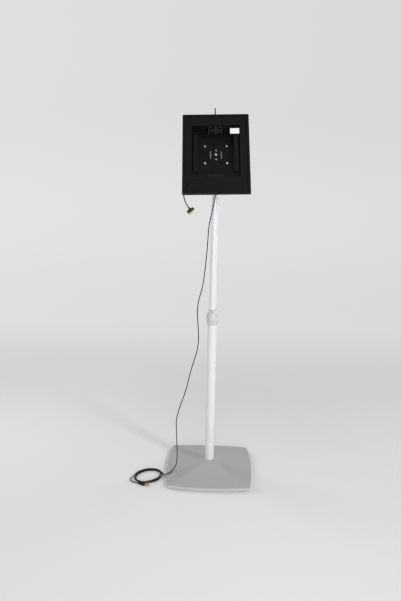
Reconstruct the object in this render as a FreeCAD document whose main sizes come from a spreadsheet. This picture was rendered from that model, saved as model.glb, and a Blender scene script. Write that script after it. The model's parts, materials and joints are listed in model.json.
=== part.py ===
# Floor stand for a tablet: a tent-shaped base, a two-stage mast with a twist collar, a tilting
# neck with a swivel, and an enclosure with a recess for the tablet, a cam lock and a cord.
# Millimetres. The origin is on the floor under the middle of the base, +Z is up, and the
# enclosure faces -Y.
import FreeCAD
import math
import os
import re
import Part
import Sketcher
from FreeCAD import Placement, Rotation, Vector

doc = FreeCAD.newDocument("tablet_stand")
sheet = doc.addObject("Spreadsheet::Sheet", "sizes")

SIZES = {
    # Base
    "foot_height": 2.0,
    "foot_radius": 13.0,
    "foot_inset": 26.0,
    "plate_thickness": 4.5,
    "plate_inset": 1.5,
    "base_side": 305.0,
    "side_bow": 11.8,
    "base_corner": 6.0,
    "rim_height": 8.9,
    "cover_wall": 2.0,
    "skirt_slope": 4.0,
    "middle_slope": 14.5,
    "middle_half": 55.0,
    "peak_slope": 34.0,
    "cover_screw_inset": 52.0,
    "cover_boss_radius": 5.0,
    "cover_screw_radius": 2.0,
    "screw_head_height": 2.2,
    "hub_radius": 34.0,
    "hub_thickness": 8.0,
    "hub_spigot": 46.0,
    "hub_screw_circle": 24.0,
    "hub_screw_radius": 3.0,
    "hub_screw_length": 10.0,
    "hub_screw_taper": 3.3,
    "set_screw_radius": 2.5,
    "set_screw_rise": 10.0,
    "set_screw_length": 9.0,
    # Mast
    "lower_radius": 17.5,
    "upper_radius": 13.5,
    "tube_wall": 1.5,
    "joint_height": 604.0,
    "slide_clearance": 0.05,
    "guide_length": 20.0,
    "slide_bush_length": 44.0,
    "raise_travel": 40.0,
    "collar_skirt": 11.0,
    "collar_foot_radius": 19.25,
    "collar_waist_radius": 21.5,
    "collar_radius": 23.0,
    "collar_body_length": 17.0,
    "collar_nut_length": 41.0,
    "collar_thread_radius": 19.0,
    "collar_thread_length": 18.0,
    "collar_cone_height": 15.0,
    "collar_top_radius": 14.5,
    "collar_clearance": 0.06,
    "sleeve_wall": 2.2,
    "sleeve_length": 32.0,
    "sleeve_straight": 24.0,
    "sleeve_tip_wall": 1.0,
    "sleeve_slit": 1.6,
    "sleeve_root": 8.0,
    # Neck and tilt joint
    "tilt_height": 1178.3,
    "neck_seat_drop": 28.0,
    "neck_spigot": 42.0,
    "neck_shoulder": 7.0,
    "neck_pin_radius": 2.0,
    "tongue_half": 8.0,
    "tongue_radius": 11.0,
    "tilt_bolt_radius": 4.0,
    "bolt_clearance": 0.06,
    "washer_gap": 1.0,
    "washer_slack": 0.05,
    "ear_thickness": 6.0,
    "ear_radius": 13.0,
    "ear_root_half": 20.0,
    "tilt_washer_thickness": 1.5,
    "tilt_head_height": 5.3,
    "tilt_nut_height": 6.5,
    "tilt_hex_flats": 13.0,
    # Swivel
    "floor_lean": 41.5,
    "axis_to_floor": 35.0,
    "head_turned": 2.1,
    "flange_radius": 32.0,
    "flange_thickness": 5.0,
    "swivel_disc_radius": 16.5,
    "swivel_disc_thickness": 1.5,
    "pivot_radius": 2.5,
    "pivot_head_radius": 4.5,
    "pivot_head_height": 2.0,
    "pivot_socket_flats": 4.0,
    "pivot_socket_depth": 1.3,
    "pivot_washer_radius": 6.5,
    "pivot_washer_height": 2.0,
    "pivot_nut_height": 5.0,
    "pivot_nut_flats": 8.0,
    "stop_circle": 19.7,
    "stop_radius": 2.2,
    "stop_depth": 3.0,
    "stop_head_height": 0.6,
    "stop_sweep": 90.0,
    "mount_plate_side": 95.0,
    "mount_plate_corner": 8.0,
    "mount_plate_thickness": 3.0,
    "mount_pitch": 75.0,
    "mount_screw_radius": 2.0,
    "mount_head_radius": 4.0,
    # Enclosure
    "front_width": 228.0,
    "front_height": 308.0,
    "front_corner": 4.0,
    "front_edge_round": 1.5,
    "front_depth": 6.0,
    "rim_width": 8.5,
    "rim_rise": 3.0,
    "shell_wall": 2.5,
    "recess_half": 81.0,
    "recess_low": 89.0,
    "recess_high": 111.0,
    "recess_mid_depth": 21.73,
    "recess_rake": 9.5,
    "pivot_up": 7.5,
    "shell_edge": 2.0,
    "back_corner": 6.0,
    "tray_clearance": 0.2,
    "slot_offset": 18.4,
    "slot_length": 39.5,
    "slot_up": 1.75,
    "slot_width": 4.0,
    "dimple_radius": 1.2,
    "dimple_down": 54.6,
    "rail_gap": 5.0,
    "rail_width": 15.0,
    "rail_rise": 20.0,
    "rail_drop": 38.0,
    "rail_wall": 2.0,
    "label_width": 31.5,
    "label_length": 21.4,
    "label_drop": 32.6,
    "label_thickness": 0.4,
    "ledge_drop": 2.0,
    "ledge_thickness": 2.0,
    "shell_screw_radius": 1.5,
    "shell_screw_head": 2.75,
    "shell_screw_side": 16.0,
    "shell_screw_top": 26.0,
    "shell_screw_foot": 24.0,
    "shell_boss_radius": 5.0,
    # Lock
    "lock_across": -1.0,
    "lock_depth": 19.0,
    "lock_radius": 8.0,
    "lock_flange_radius": 10.3,
    "lock_flange_height": 2.0,
    "lock_proud": 1.5,
    "lock_drop": 17.5,
    "lock_boss_radius": 10.5,
    "lock_clearance": 0.05,
    "lock_nut_height": 3.5,
    "lock_nut_flats": 19.0,
    "plug_radius": 5.0,
    "cam_thickness": 2.5,
    "cam_width": 10.0,
    "cam_reach": 18.0,
    "cam_screw_radius": 2.0,
    "bracket_across": -1.8,
    "bracket_half": 23.6,
    "bracket_drop": 15.5,
    "bracket_thickness": 2.5,
    "bracket_front": 9.0,
    "bracket_depth": 20.5,
    "bracket_end_depth": 14.5,
    "bracket_foot_length": 15.0,
    "bracket_pad_length": 11.0,
    "bracket_screw_radius": 1.5,
    "bracket_screw_head": 1.6,
    "bracket_screw_back": 7.2,
    "bracket_screw_inset": 7.4,
    "key_thickness": 2.2,
    "key_width": 7.0,
    "key_blade": 26.0,
    "key_neck": 9.0,
    "key_bow_radius": 12.0,
    "key_bow_thickness": 3.9,
    "key_hole_radius": 3.0,
    "key_hole_up": 5.5,
    "key_clearance": 0.1,
    # Cord and plugs
    "cord_radius": 1.75,
    "cord_clearance": 0.1,
    "cable_slot_half": 26.0,
    "cable_slot_rise": 5.5,
    "cable_slot_width": 6.4,
    "grommet_wall": 1.0,
    "grommet_lip": 1.2,
    "clip_wall": 1.8,
    "clip_height": 8.0,
    "clip_drop": 78.3,
    "coil_half_length": 57.0,
    "coil_half_width": 48.3,
    "coil_step": 4.9,
    "coil_side_step": 6.5,
    "coil_turn": 36.0,
    "coil_lift": 4.2,
    "usb_length": 18.0,
    "usb_width": 15.5,
    "usb_height": 7.5,
    "usb_tip_length": 14.0,
    "usb_tip_width": 12.0,
    "usb_tip_height": 4.5,
    "dock_width": 26.5,
    "dock_thickness": 5.5,
    "dock_length": 10.0,
    "dock_tip_width": 21.5,
    "dock_tip_thickness": 2.4,
    "dock_tip_length": 5.0,
}

for row, (alias, value) in enumerate(SIZES.items(), start=1):
    sheet.set(f"A{row}", alias)
    sheet.set(f"B{row}", str(value))
    sheet.setAlias(f"B{row}", alias)
doc.recompute()

X, Y, Z = Vector(1, 0, 0), Vector(0, 1, 0), Vector(0, 0, 1)
TURNS = {
    "z": Rotation(),
    "x": Rotation(Y, 90),
    "y": Rotation(X, -90),
}
pieces = {}


def size(alias):
    """The value of one cell of the sheet."""
    return float(sheet.get(alias))


def cells(text):
    """An expression in which every alias is read from the sheet."""
    return re.sub(r"\b([a-z]+(?:_[a-z]+)+)\b", r"sizes.\1", str(text))


def bind(thing, **values):
    """Ties properties of an object to cells of the sheet."""
    for prop, text in values.items():
        thing.setExpression(prop, cells(text))
    return thing


def put(thing, at=("0", "0", "0"), along="z"):
    """Turns a primitive along an axis and ties its place to the sheet."""
    thing.Placement = Placement(Vector(), TURNS[along])
    for axis, text in zip("xyz", at):
        thing.setExpression("Placement.Base." + axis, cells(text))
    return thing


def rod(radius, height, at=("0", "0", "0"), along="z"):
    """A cylinder whose sizes are expressions."""
    return put(bind(doc.addObject("Part::Cylinder", "rod"), Radius=radius, Height=height), at, along)


def cone(low, high, height, at=("0", "0", "0"), along="z"):
    """A cone whose sizes are expressions."""
    made = bind(doc.addObject("Part::Cone", "cone"), Radius1=low, Radius2=high, Height=height)
    return put(made, at, along)


def block(length, width, height, at=("0", "0", "0")):
    """A box whose sizes are expressions, from its lowest corner."""
    made = bind(doc.addObject("Part::Box", "block"), Length=length, Width=width, Height=height)
    return put(made, at)


def hexagon(flats, height, at=("0", "0", "0"), along="z"):
    """A six-sided bar whose size across flats is an expression."""
    made = doc.addObject("Part::Prism", "hexagon")
    made.Polygon = 6
    bind(made, Circumradius=f"({flats}) / sqrt(3)", Height=height)
    return put(made, at, along)


def fuse(*parts):
    made = doc.addObject("Part::MultiFuse", "fuse")
    made.Shapes = list(parts)
    return made


def cut(base, *tools):
    made = doc.addObject("Part::Cut", "cut")
    made.Base = base
    made.Tool = tools[0] if len(tools) == 1 else fuse(*tools)
    return made


def compound(*parts):
    made = doc.addObject("Part::Compound", "group")
    made.Links = list(parts)
    return made


def solid(shape):
    """A feature that holds a shape made by this file's own functions."""
    made = doc.addObject("Part::Feature", "solid")
    made.Shape = shape
    return made


def keep(node, thing, place=None):
    """Names a sub-part and sets the frame that it is modelled in."""
    if place is not None:
        if thing.ExpressionEngine:
            thing = compound(thing)
        thing.Placement = place.multiply(thing.Placement)
    thing.Label = node
    pieces[node] = thing
    return thing


def turned(node, profile, place=None):
    """A turned piece: a revolved sketch whose corners are (radius, height) expressions."""
    body = doc.addObject("PartDesign::Body", node)
    sketch = body.newObject("Sketcher::SketchObject", node + "_profile")
    plane = next(f for f in body.Origin.OriginFeatures if f.Role == "XZ_Plane")
    sketch.AttachmentSupport = [(plane, "")]
    sketch.MapMode = "FlatFace"
    count = len(profile)
    start = [Vector(20 + 7 * math.cos(6.28 * i / count), 7 * math.sin(6.28 * i / count), 0)
             for i in range(count)]
    for i in range(count):
        sketch.addGeometry(Part.LineSegment(start[i], start[(i + 1) % count]), False)
    for i in range(count):
        sketch.addConstraint(Sketcher.Constraint("Coincident", i, 2, (i + 1) % count, 1))
    for i, (radius, height) in enumerate(profile):
        for kind, text in (("DistanceX", radius), ("DistanceY", height)):
            index = sketch.addConstraint(Sketcher.Constraint(kind, -1, 1, i, 1, 10.0))
            sketch.setExpression(f"Constraints[{index}]", cells(text))
    turn = body.newObject("PartDesign::Revolution", node + "_turn")
    turn.Profile = sketch
    turn.ReferenceAxis = (sketch, ["V_Axis"])
    turn.Angle = 360
    return keep(node, body, place)


# Frames of the tilting and turning parts
tilt_place = Placement(Vector(0, 0, size("tilt_height")), Rotation(X, 90 - size("floor_lean")))
flange_place = tilt_place.multiply(Placement(Vector(0, 0, size("axis_to_floor")), Rotation()))
floor_place = flange_place.multiply(Placement(Vector(), Rotation(Z, size("head_turned"))))
rake = math.radians(size("recess_rake"))


def recess_depth(y):
    """How deep the recess's floor lies below the front plane, y up from its middle."""
    return size("recess_mid_depth") + math.tan(rake) * y


pivot_y = size("pivot_up") * math.cos(rake)
floor_middle = Vector(0, pivot_y, -recess_depth(pivot_y))
floor_in_head = Placement(floor_middle, Rotation(X, -size("recess_rake")))
head_place = floor_place.multiply(floor_in_head.inverse())


def ring(outer, inner, height, at=("0", "0", "0"), along="z"):
    """A flat ring with expressions for its sizes."""
    return cut(rod(outer, height, at, along), rod(inner, height, at, along))


def four(make, half):
    """Four copies of a piece at the corners of a square of that half side."""
    return [make(f"{sx} * ({half})", f"{sy} * ({half})") for sx in (-1, 1) for sy in (-1, 1)]


# Base
def bowed_square(inset, low, high):
    """The base's outline, a square with bowed sides and rounded corners, as a prism."""
    half = size("base_side") / 2 - inset
    bow = size("side_bow")
    corners = [Vector(sx * half, sy * half, 0) for sx, sy in ((1, 1), (-1, 1), (-1, -1), (1, -1))]
    edges = []
    for a, b in zip(corners, corners[1:] + corners[:1]):
        middle = (a + b) / 2
        out = Vector(middle).normalize()
        edges.append(Part.Arc(a, middle + out * bow, b).toShape())
    face = Part.Face(Part.Wire(edges))
    prism = face.extrude(Vector(0, 0, high - low))
    prism.translate(Vector(0, 0, low))
    upright = [e for e in prism.Edges if abs(e.BoundBox.ZLength - (high - low)) < 0.01]
    return prism.makeFillet(max(size("base_corner") - inset, 1.0), upright)


plate_top = size("foot_height") + size("plate_thickness")


def tent_profile(drop):
    """The region under the tent's roof line, seen from the side, as a face in the XZ plane."""
    half = size("base_side") / 2
    outer = half + size("side_bow") + 5
    middle = size("middle_half")
    peak = size("lower_radius")
    slopes = [math.radians(size(s)) for s in ("skirt_slope", "middle_slope", "peak_slope")]
    skirt = (half - middle) / (math.sin(slopes[1]) - math.sin(slopes[0]))
    crown = (middle - peak) / (math.sin(slopes[2]) - math.sin(slopes[1]))
    rim = plate_top + size("rim_height") - drop

    def roof(start, base, radius, first, slope):
        x = start - radius * (math.sin(slope) - math.sin(first))
        return Vector(x, 0, base + radius * (math.cos(first) - math.cos(slope)))

    edge = Vector(outer, 0, rim - math.tan(slopes[0]) * (outer - half))
    knee = Vector(half, 0, rim)
    mid_arc = roof(half, rim, skirt, slopes[0], sum(slopes[:2]) / 2)
    elbow = roof(half, rim, skirt, slopes[0], slopes[1])
    top_arc = roof(middle, elbow.z, crown, slopes[1], sum(slopes[1:]) / 2)
    top = roof(middle, elbow.z, crown, slopes[1], slopes[2])

    def flip(p):
        return Vector(-p.x, 0, p.z)

    foot, centre = Vector(outer, 0, 0), Vector(0, 0, top.z)
    right = [
        Part.LineSegment(foot, edge).toShape(),
        Part.LineSegment(edge, knee).toShape(),
        Part.Arc(knee, mid_arc, elbow).toShape(),
        Part.Arc(elbow, top_arc, top).toShape(),
        Part.LineSegment(top, centre).toShape(),
    ]
    left = [
        Part.LineSegment(centre, flip(top)).toShape(),
        Part.Arc(flip(top), flip(top_arc), flip(elbow)).toShape(),
        Part.Arc(flip(elbow), flip(mid_arc), flip(knee)).toShape(),
        Part.LineSegment(flip(knee), flip(edge)).toShape(),
        Part.LineSegment(flip(edge), flip(foot)).toShape(),
    ]
    wire = Part.Wire(right + left + [Part.LineSegment(flip(foot), foot).toShape()])
    return Part.Face(wire), top.z


def tent(inset, drop):
    """The tent: the same roof line run along X and along Y, within the bowed outline."""
    face, top = tent_profile(drop)
    reach = size("base_side")
    along_y = face.extrude(Vector(0, 2 * reach, 0))
    along_y.translate(Vector(0, -reach, 0))
    along_x = along_y.copy()
    along_x.rotate(Vector(), Z, 90)
    outline = bowed_square(inset, plate_top, top + 1)
    return along_y.common(along_x).common(outline), top


def cover_corner(sx, sy, radius, low, high):
    """An upright cylinder where one of the cover's screws goes."""
    place = size("base_side") / 2 - size("cover_screw_inset")
    return Part.makeCylinder(radius, high - low, Vector(sx * place, sy * place, low))


def make_base():
    outside, top = tent(0, 0)
    hollow, _ = tent(size("cover_wall"), size("cover_wall"))
    pole = Part.makeCylinder(size("lower_radius") + size("slide_clearance"), 2 * top, Vector())
    shell = outside.cut(hollow)
    screw_top = plate_top + 6.0
    for sx in (-1, 1):
        for sy in (-1, 1):
            boss = cover_corner(sx, sy, size("cover_boss_radius"), plate_top, top)
            shell = shell.fuse(boss.common(outside))
    for sx in (-1, 1):
        for sy in (-1, 1):
            shell = shell.cut(cover_corner(sx, sy, size("cover_screw_radius"), plate_top, screw_top))
    keep("base_cover", solid(shell.cut(pole).removeSplitter()))

    plate = bowed_square(size("plate_inset"), size("foot_height"), plate_top)
    head = 2 * size("cover_screw_radius")
    screws = []
    for sx in (-1, 1):
        for sy in (-1, 1):
            shank = cover_corner(sx, sy, size("cover_screw_radius"), size("foot_height"), screw_top)
            place = size("base_side") / 2 - size("cover_screw_inset")
            taper = Part.makeCone(head, size("cover_screw_radius"), size("screw_head_height"),
                                  Vector(sx * place, sy * place, size("foot_height")))
            screws.append(shank.fuse(taper).removeSplitter())
            plate = plate.cut(screws[-1])
    hub_screws = []
    hub_top = plate_top + size("hub_screw_length") - size("plate_thickness")
    for quarter in range(4):
        at = Vector(size("hub_screw_circle"), 0, size("foot_height"))
        at = Rotation(Z, 45 + 90 * quarter).multVec(at)
        shank = Part.makeCylinder(size("hub_screw_radius"), hub_top - size("foot_height"), at)
        taper = Part.makeCone(2 * size("hub_screw_radius"), size("hub_screw_radius"),
                              size("hub_screw_taper"), at)
        hub_screws.append(shank.fuse(taper).removeSplitter())
        plate = plate.cut(hub_screws[-1])
    keep("base_plate", solid(plate))
    keep("cover_screws", solid(Part.Compound(screws)))
    keep("hub_screws", solid(Part.Compound(hub_screws)))
    feet = four(lambda x, y: rod("foot_radius", "foot_height", (x, y, "0")), "base_side / 2 - foot_inset")
    keep("base_feet", compound(*feet))
    return hub_screws


hub_screws = make_base()
plate_top_text = "foot_height + plate_thickness"
tube_foot = plate_top_text + " + hub_thickness"
spigot_radius = "lower_radius - tube_wall"
screw_z = f"{tube_foot} + set_screw_rise"
hub_body = fuse(
    rod("hub_radius", "hub_thickness", ("0", "0", plate_top_text)),
    rod(spigot_radius, "hub_spigot", ("0", "0", tube_foot)),
)
set_at = ("lower_radius - set_screw_length", "0", screw_z)
set_hole = rod("set_screw_radius", "lower_radius", set_at, "x")
keep("foot_hub", cut(hub_body, solid(Part.Compound(hub_screws)), set_hole))
keep("hub_set_screw", rod("set_screw_radius", "set_screw_length", set_at, "x"))

# Lower mast and collar
lower_length = f"joint_height - ({tube_foot})"
lower_body = ring("lower_radius", spigot_radius, lower_length, ("0", "0", tube_foot))
lower_hole = rod("set_screw_radius", "lower_radius", set_at, "x")
keep("lower_tube", cut(lower_body, lower_hole))
bush_inner = "upper_radius + slide_clearance"
turned("guide_bush", [
    (bush_inner, "joint_height - guide_length"),
    (spigot_radius, "joint_height - guide_length"),
    (spigot_radius, "joint_height"),
    (bush_inner, "joint_height"),
])
collar_top = "joint_height - collar_skirt + collar_body_length"
turned("collar_body", [
    ("lower_radius", "joint_height - collar_skirt"),
    ("collar_foot_radius", "joint_height - collar_skirt"),
    ("collar_waist_radius", f"{collar_top} - 6"),
    ("collar_radius - 0.6", collar_top),
    ("collar_thread_radius", collar_top),
    ("collar_thread_radius", f"{collar_top} + collar_thread_length"),
    ("upper_radius + sleeve_wall", f"{collar_top} + collar_thread_length"),
    ("upper_radius + sleeve_wall", "joint_height"),
    ("lower_radius", "joint_height"),
])
nut_low = f"{collar_top} + 0.3"
nut_top = f"{nut_low} + collar_nut_length"
nut_cone = f"{nut_top} - collar_cone_height"
thread_end = f"{collar_top} + collar_thread_length + 0.5"
sleeve_end = "joint_height + sleeve_length + 0.5"
turned("collar_nut", [
    ("collar_thread_radius + collar_clearance", nut_low),
    ("collar_radius - 0.5", nut_low),
    ("collar_radius", f"{nut_low} + 3"),
    ("collar_radius", f"{nut_cone} - 6"),
    ("collar_radius - 0.5", nut_cone),
    ("collar_radius - 1.6", f"{nut_cone} + 1"),
    ("collar_top_radius", nut_top),
    ("upper_radius + 0.4", nut_top),
    ("upper_radius + 0.4", sleeve_end),
    ("upper_radius + sleeve_tip_wall + 0.3", sleeve_end),
    ("upper_radius + sleeve_wall + 0.3", thread_end),
    ("collar_thread_radius + collar_clearance", thread_end),
])
sleeve = cut(
    rod("upper_radius + sleeve_wall", "sleeve_length", ("0", "0", "joint_height")),
    rod(bush_inner, "sleeve_length", ("0", "0", "joint_height")),
    block("2 * lower_radius", "sleeve_slit", "sleeve_length - sleeve_root",
          ("-lower_radius", "-sleeve_slit / 2", "joint_height + sleeve_root")),
    block("sleeve_slit", "2 * lower_radius", "sleeve_length - sleeve_root",
          ("-sleeve_slit / 2", "-lower_radius", "joint_height + sleeve_root")),
)
sleeve_outer = "upper_radius + sleeve_wall"
sleeve_cone = cone(sleeve_outer, "upper_radius + sleeve_tip_wall", "sleeve_length - sleeve_straight",
                   ("0", "0", "joint_height + sleeve_straight"))
sleeve_form = doc.addObject("Part::MultiCommon", "sleeve_form")
sleeve_straight = rod(sleeve_outer, "sleeve_straight", ("0", "0", "joint_height"))
sleeve_form.Shapes = [sleeve, fuse(sleeve_straight, sleeve_cone)]
keep("clamp_sleeve", sleeve_form)

# Upper mast and neck
seat = "tilt_height - neck_seat_drop"
upper_foot = "joint_height - guide_length - raise_travel - slide_bush_length"
upper_bore = "upper_radius - tube_wall"
pin_z = f"{seat} - neck_spigot / 2"
upper_body = ring("upper_radius", upper_bore, f"{seat} - ({upper_foot})", ("0", "0", upper_foot))
pin_hole = rod("neck_pin_radius", "2 * upper_radius", ("-upper_radius", "0", pin_z), "x")
keep("upper_tube", cut(upper_body, pin_hole))
keep("slide_bush", ring(f"{spigot_radius} - slide_clearance", "upper_radius", "slide_bush_length",
                        ("0", "0", upper_foot)))
tongue_low = f"{seat} + neck_shoulder"
neck_form = fuse(
    rod(upper_bore, "neck_spigot", ("0", "0", f"{seat} - neck_spigot")),
    rod("upper_radius", "neck_shoulder", ("0", "0", seat)),
    block("2 * tongue_half", "2 * tongue_radius", f"tilt_height - ({seat}) - 1",
          ("-tongue_half", "-tongue_radius", f"{seat} + 1")),
    rod("tongue_radius", "2 * tongue_half", ("-tongue_half", "0", "tilt_height"), "x"),
)
tongue_at = ("-tongue_half", "0", "tilt_height")
keep("neck_tongue", cut(
    neck_form,
    rod("tilt_bolt_radius + bolt_clearance", "2 * tongue_half", tongue_at, "x"),
    rod("neck_pin_radius", "2 * upper_radius", ("-upper_radius", "0", pin_z), "x"),
))
keep("neck_pin", rod("neck_pin_radius", "2 * upper_radius", ("-upper_radius", "0", pin_z), "x"))
thin_washer = "washer_gap - 2 * washer_slack"
keep("friction_washers", compound(
    ring("tongue_radius", "tilt_bolt_radius + bolt_clearance", thin_washer,
         ("tongue_half", "0", "tilt_height"), "x"),
    ring("tongue_radius", "tilt_bolt_radius + bolt_clearance", thin_washer,
         (f"-tongue_half - ({thin_washer})", "0", "tilt_height"), "x"),
))
cord_stand_off = "upper_radius + clip_wall + cord_radius"
clip_foot = "tilt_height - clip_drop"
clip_form = fuse(
    rod("upper_radius + clip_wall", "clip_height", ("0", "0", clip_foot)),
    rod("cord_radius + clip_wall", "clip_height", ("3", f"-({cord_stand_off})", clip_foot)),
)
keep("mast_clip", cut(
    clip_form,
    rod("upper_radius", "clip_height", ("0", "0", clip_foot)),
    rod("cord_radius + cord_clearance", "clip_height", ("3", f"-({cord_stand_off})", clip_foot)),
    block("1.6", "8", "clip_height", ("-0.8", "upper_radius - 2", clip_foot)),
))


# Tilt joint: the ears sit on the flange, and the flange carries the swivel
def arc_groove(start, sweep, radius, half_width, depth, top):
    """A round-ended groove along an arc, from a start angle."""
    outer = Part.makeCylinder(radius + half_width, depth, Vector(0, 0, top - depth), Z, sweep)
    inner = Part.makeCylinder(radius - half_width, depth, Vector(0, 0, top - depth))
    groove = outer.cut(inner)
    for angle in (0, sweep):
        end = Rotation(Z, angle).multVec(Vector(radius, 0, top - depth))
        groove = groove.fuse(Part.makeCylinder(half_width, depth, end))
    groove.rotate(Vector(), Z, start)
    return groove


plate_back = 2 * size("shell_wall") + size("mount_plate_thickness")
flange_front = size("axis_to_floor") - plate_back - size("swivel_disc_thickness")
flange_back = flange_front - size("flange_thickness")
ear_inner = size("tongue_half") + size("washer_gap")
ear_outer = ear_inner + size("ear_thickness")


def make_knuckle():
    """The flange, its stop grooves and the two ears, in the frame of the tilt axis."""
    disc = Part.makeCylinder(size("flange_radius"), size("flange_thickness"), Vector(0, 0, flange_back))
    disc = disc.makeChamfer(0.8, [e for e in disc.Edges if e.Length > 6 * size("flange_radius")])
    r, root = size("ear_radius"), size("ear_root_half")
    # The flank of an ear runs from the tangent of its round end to its root on the flange.
    reach = math.hypot(root, flange_back)
    side = math.atan2(root, flange_back) - math.acos(r / reach)
    touch = Vector(0, r * math.sin(side), r * math.cos(side))
    for sign in (-1, 1):
        low = ear_inner if sign > 0 else -ear_outer
        tangents = [Vector(low, side_sign * touch.y, touch.z) for side_sign in (1, -1)]
        roots = [Vector(low, side_sign * root, flange_back + 0.5) for side_sign in (1, -1)]
        outline = Part.Wire([
            Part.Arc(tangents[0], Vector(low, 0, -r), tangents[1]).toShape(),
            Part.LineSegment(tangents[1], roots[1]).toShape(),
            Part.LineSegment(roots[1], roots[0]).toShape(),
            Part.LineSegment(roots[0], tangents[0]).toShape(),
        ])
        disc = disc.fuse(Part.Face(outline).extrude(Vector(size("ear_thickness"), 0, 0)))
    bolt = Part.makeCylinder(size("tilt_bolt_radius"), 4 * ear_outer, Vector(-2 * ear_outer, 0, 0), X)
    pivot_bore = size("pivot_radius") + size("bolt_clearance")
    disc = disc.cut(bolt).cut(Part.makeCylinder(pivot_bore, 30, Vector(0, 0, flange_back - 5)))
    groove_half = size("stop_radius") + 0.15
    for start in (90, 270):
        disc = disc.cut(arc_groove(start, size("stop_sweep"), size("stop_circle"), groove_half,
                                   size("stop_depth") + 0.5, flange_front))
    return disc.removeSplitter()


keep("tilt_knuckle", solid(make_knuckle()), tilt_place)
ear_out = "tongue_half + washer_gap + ear_thickness"
washer_out = f"{ear_out} + tilt_washer_thickness"
tilt_bolt_length = f"2 * ({washer_out}) + tilt_nut_height + 2"
keep("tilt_bolt", fuse(
    rod("tilt_bolt_radius", tilt_bolt_length, (f"-({washer_out})", "0", "0"), "x"),
    hexagon("tilt_hex_flats", "tilt_head_height", (f"-({washer_out}) - tilt_head_height", "0", "0"), "x"),
), tilt_place)
keep("tilt_washers", compound(*[
    ring("tilt_hex_flats * 0.62", "tilt_bolt_radius", "tilt_washer_thickness", (at, "0", "0"), "x")
    for at in (ear_out, f"-({washer_out})")
]), tilt_place)
keep("tilt_nut", cut(
    hexagon("tilt_hex_flats", "tilt_nut_height", (washer_out, "0", "0"), "x"),
    rod("tilt_bolt_radius", "tilt_nut_height", (washer_out, "0", "0"), "x"),
), tilt_place)
disc_back = f"{-plate_back} - swivel_disc_thickness"
keep("swivel_disc", ring("swivel_disc_radius", "pivot_radius + bolt_clearance",
                         "swivel_disc_thickness - washer_slack", ("0", "0", disc_back)), flange_place)


# Enclosure
def rounded_rectangle(width, height, corner, centre=Vector()):
    """A closed wire: four lines and four corner arcs, counted from the lower right."""
    w, h, k = width / 2, height / 2, corner * (1 - math.sqrt(0.5))
    edges = []
    turns = [((w, -h), (1, -1)), ((w, h), (1, 1)), ((-w, h), (-1, 1)), ((-w, -h), (-1, -1))]
    ends = []
    for (cx, cy), (sx, sy) in turns:
        along_x = Vector(cx - sx * corner, cy, 0)
        along_y = Vector(cx, cy - sy * corner, 0)
        middle = Vector(cx - sx * k, cy - sy * k, 0)
        ends.append((along_x, middle, along_y) if sx * sy < 0 else (along_y, middle, along_x))
    for (a, m, b), (c, _, _) in zip(ends, ends[1:] + ends[:1]):
        edges.append(Part.Arc(a + centre, m + centre, b + centre).toShape())
        edges.append(Part.LineSegment(b + centre, c + centre).toShape())
    return Part.Wire(edges)


def slab(width, height, corner, low, high, centre=Vector()):
    """A rounded rectangle as a prism between two heights."""
    made = Part.Face(rounded_rectangle(width, height, corner, centre)).extrude(Vector(0, 0, high - low))
    made.translate(Vector(0, 0, low))
    return made


def wedge(half, low, high, top, under):
    """A block over the recess's sloping floor: to a depth under it, from y low to y high."""
    sink = under / math.cos(rake)
    corners = [
        Vector(-half, low, top),
        Vector(-half, high, top),
        Vector(-half, high, -recess_depth(high) - sink),
        Vector(-half, low, -recess_depth(low) - sink),
    ]
    return Part.Face(Part.makePolygon(corners + corners[:1])).extrude(Vector(2 * half, 0, 0))


def on_floor(shape):
    """Moves a shape from the recess floor's frame to the front plane's."""
    shape.Placement = floor_in_head.multiply(shape.Placement)
    return shape


def floor_hole(x, y, radius, low=-20, high=10):
    return on_floor(Part.makeCylinder(radius, high - low, Vector(x, y, low)))


def cable_slot(inset, low, high):
    """The long hole at the foot of the recess that the cord comes through, as a solid."""
    tall = size("cable_slot_width") - 2 * inset
    return slab(2 * size("cable_slot_half") - 2 * inset, tall, tall / 2 - 0.01, low, high,
                Vector(0, cable_slot_y, 0))


def floor_slot(x):
    width = size("slot_width")
    middle = Vector(x, size("slot_up"), 0)
    return on_floor(slab(width, size("slot_length"), width / 2 - 0.01, -20, 10, middle))


width, height = size("front_width"), size("front_height")
wall = size("shell_wall")
recess_half, recess_low, recess_high = size("recess_half"), -size("recess_low"), size("recess_high")
depth = size("front_depth")
panel_front = -size("rim_rise")
panel_back = panel_front - wall
lock_x, lock_z = size("lock_across"), -size("lock_depth")
seam = -depth - size("shell_edge")
cable_slot_y = (recess_low + size("cable_slot_rise") - pivot_y) / math.cos(rake)
mount_half = size("mount_pitch") / 2
mount_spots = [(sx * mount_half, sy * mount_half) for sx in (-1, 1) for sy in (-1, 1)]
stop_spots = [(0, size("stop_circle")), (0, -size("stop_circle"))]


def back_wire(inset, level):
    """The outline of the shell's back, in the recess floor's frame, at a level behind the floor."""
    half = recess_half + 2 * wall - inset
    low = (recess_low - pivot_y) / math.cos(rake) - 2 * wall + inset
    high = (recess_high - pivot_y) / math.cos(rake) + 2 * wall - inset - level * math.tan(rake)
    corner = size("back_corner") - inset
    wire = rounded_rectangle(2 * half, high - low, corner, Vector(0, (high + low) / 2, 0))
    wire.translate(Vector(0, 0, level))
    return on_floor(wire)


def edge_wire(inset, level):
    wire = rounded_rectangle(width - 2 * inset, height - 2 * inset, max(size("front_corner") - inset, 0.5))
    wire.translate(Vector(0, 0, level))
    return wire


def lock_bore(radius, low, high):
    return Part.makeCylinder(radius, high - low, Vector(lock_x, low, lock_z), Y)


lock_face = height / 2 + size("lock_proud")
shell_outer = Part.makeLoft([edge_wire(0, seam), back_wire(0, -2 * wall)], True, True)
shell_outer = shell_outer.fuse(slab(width, height, size("front_corner"), seam, -depth))


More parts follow.
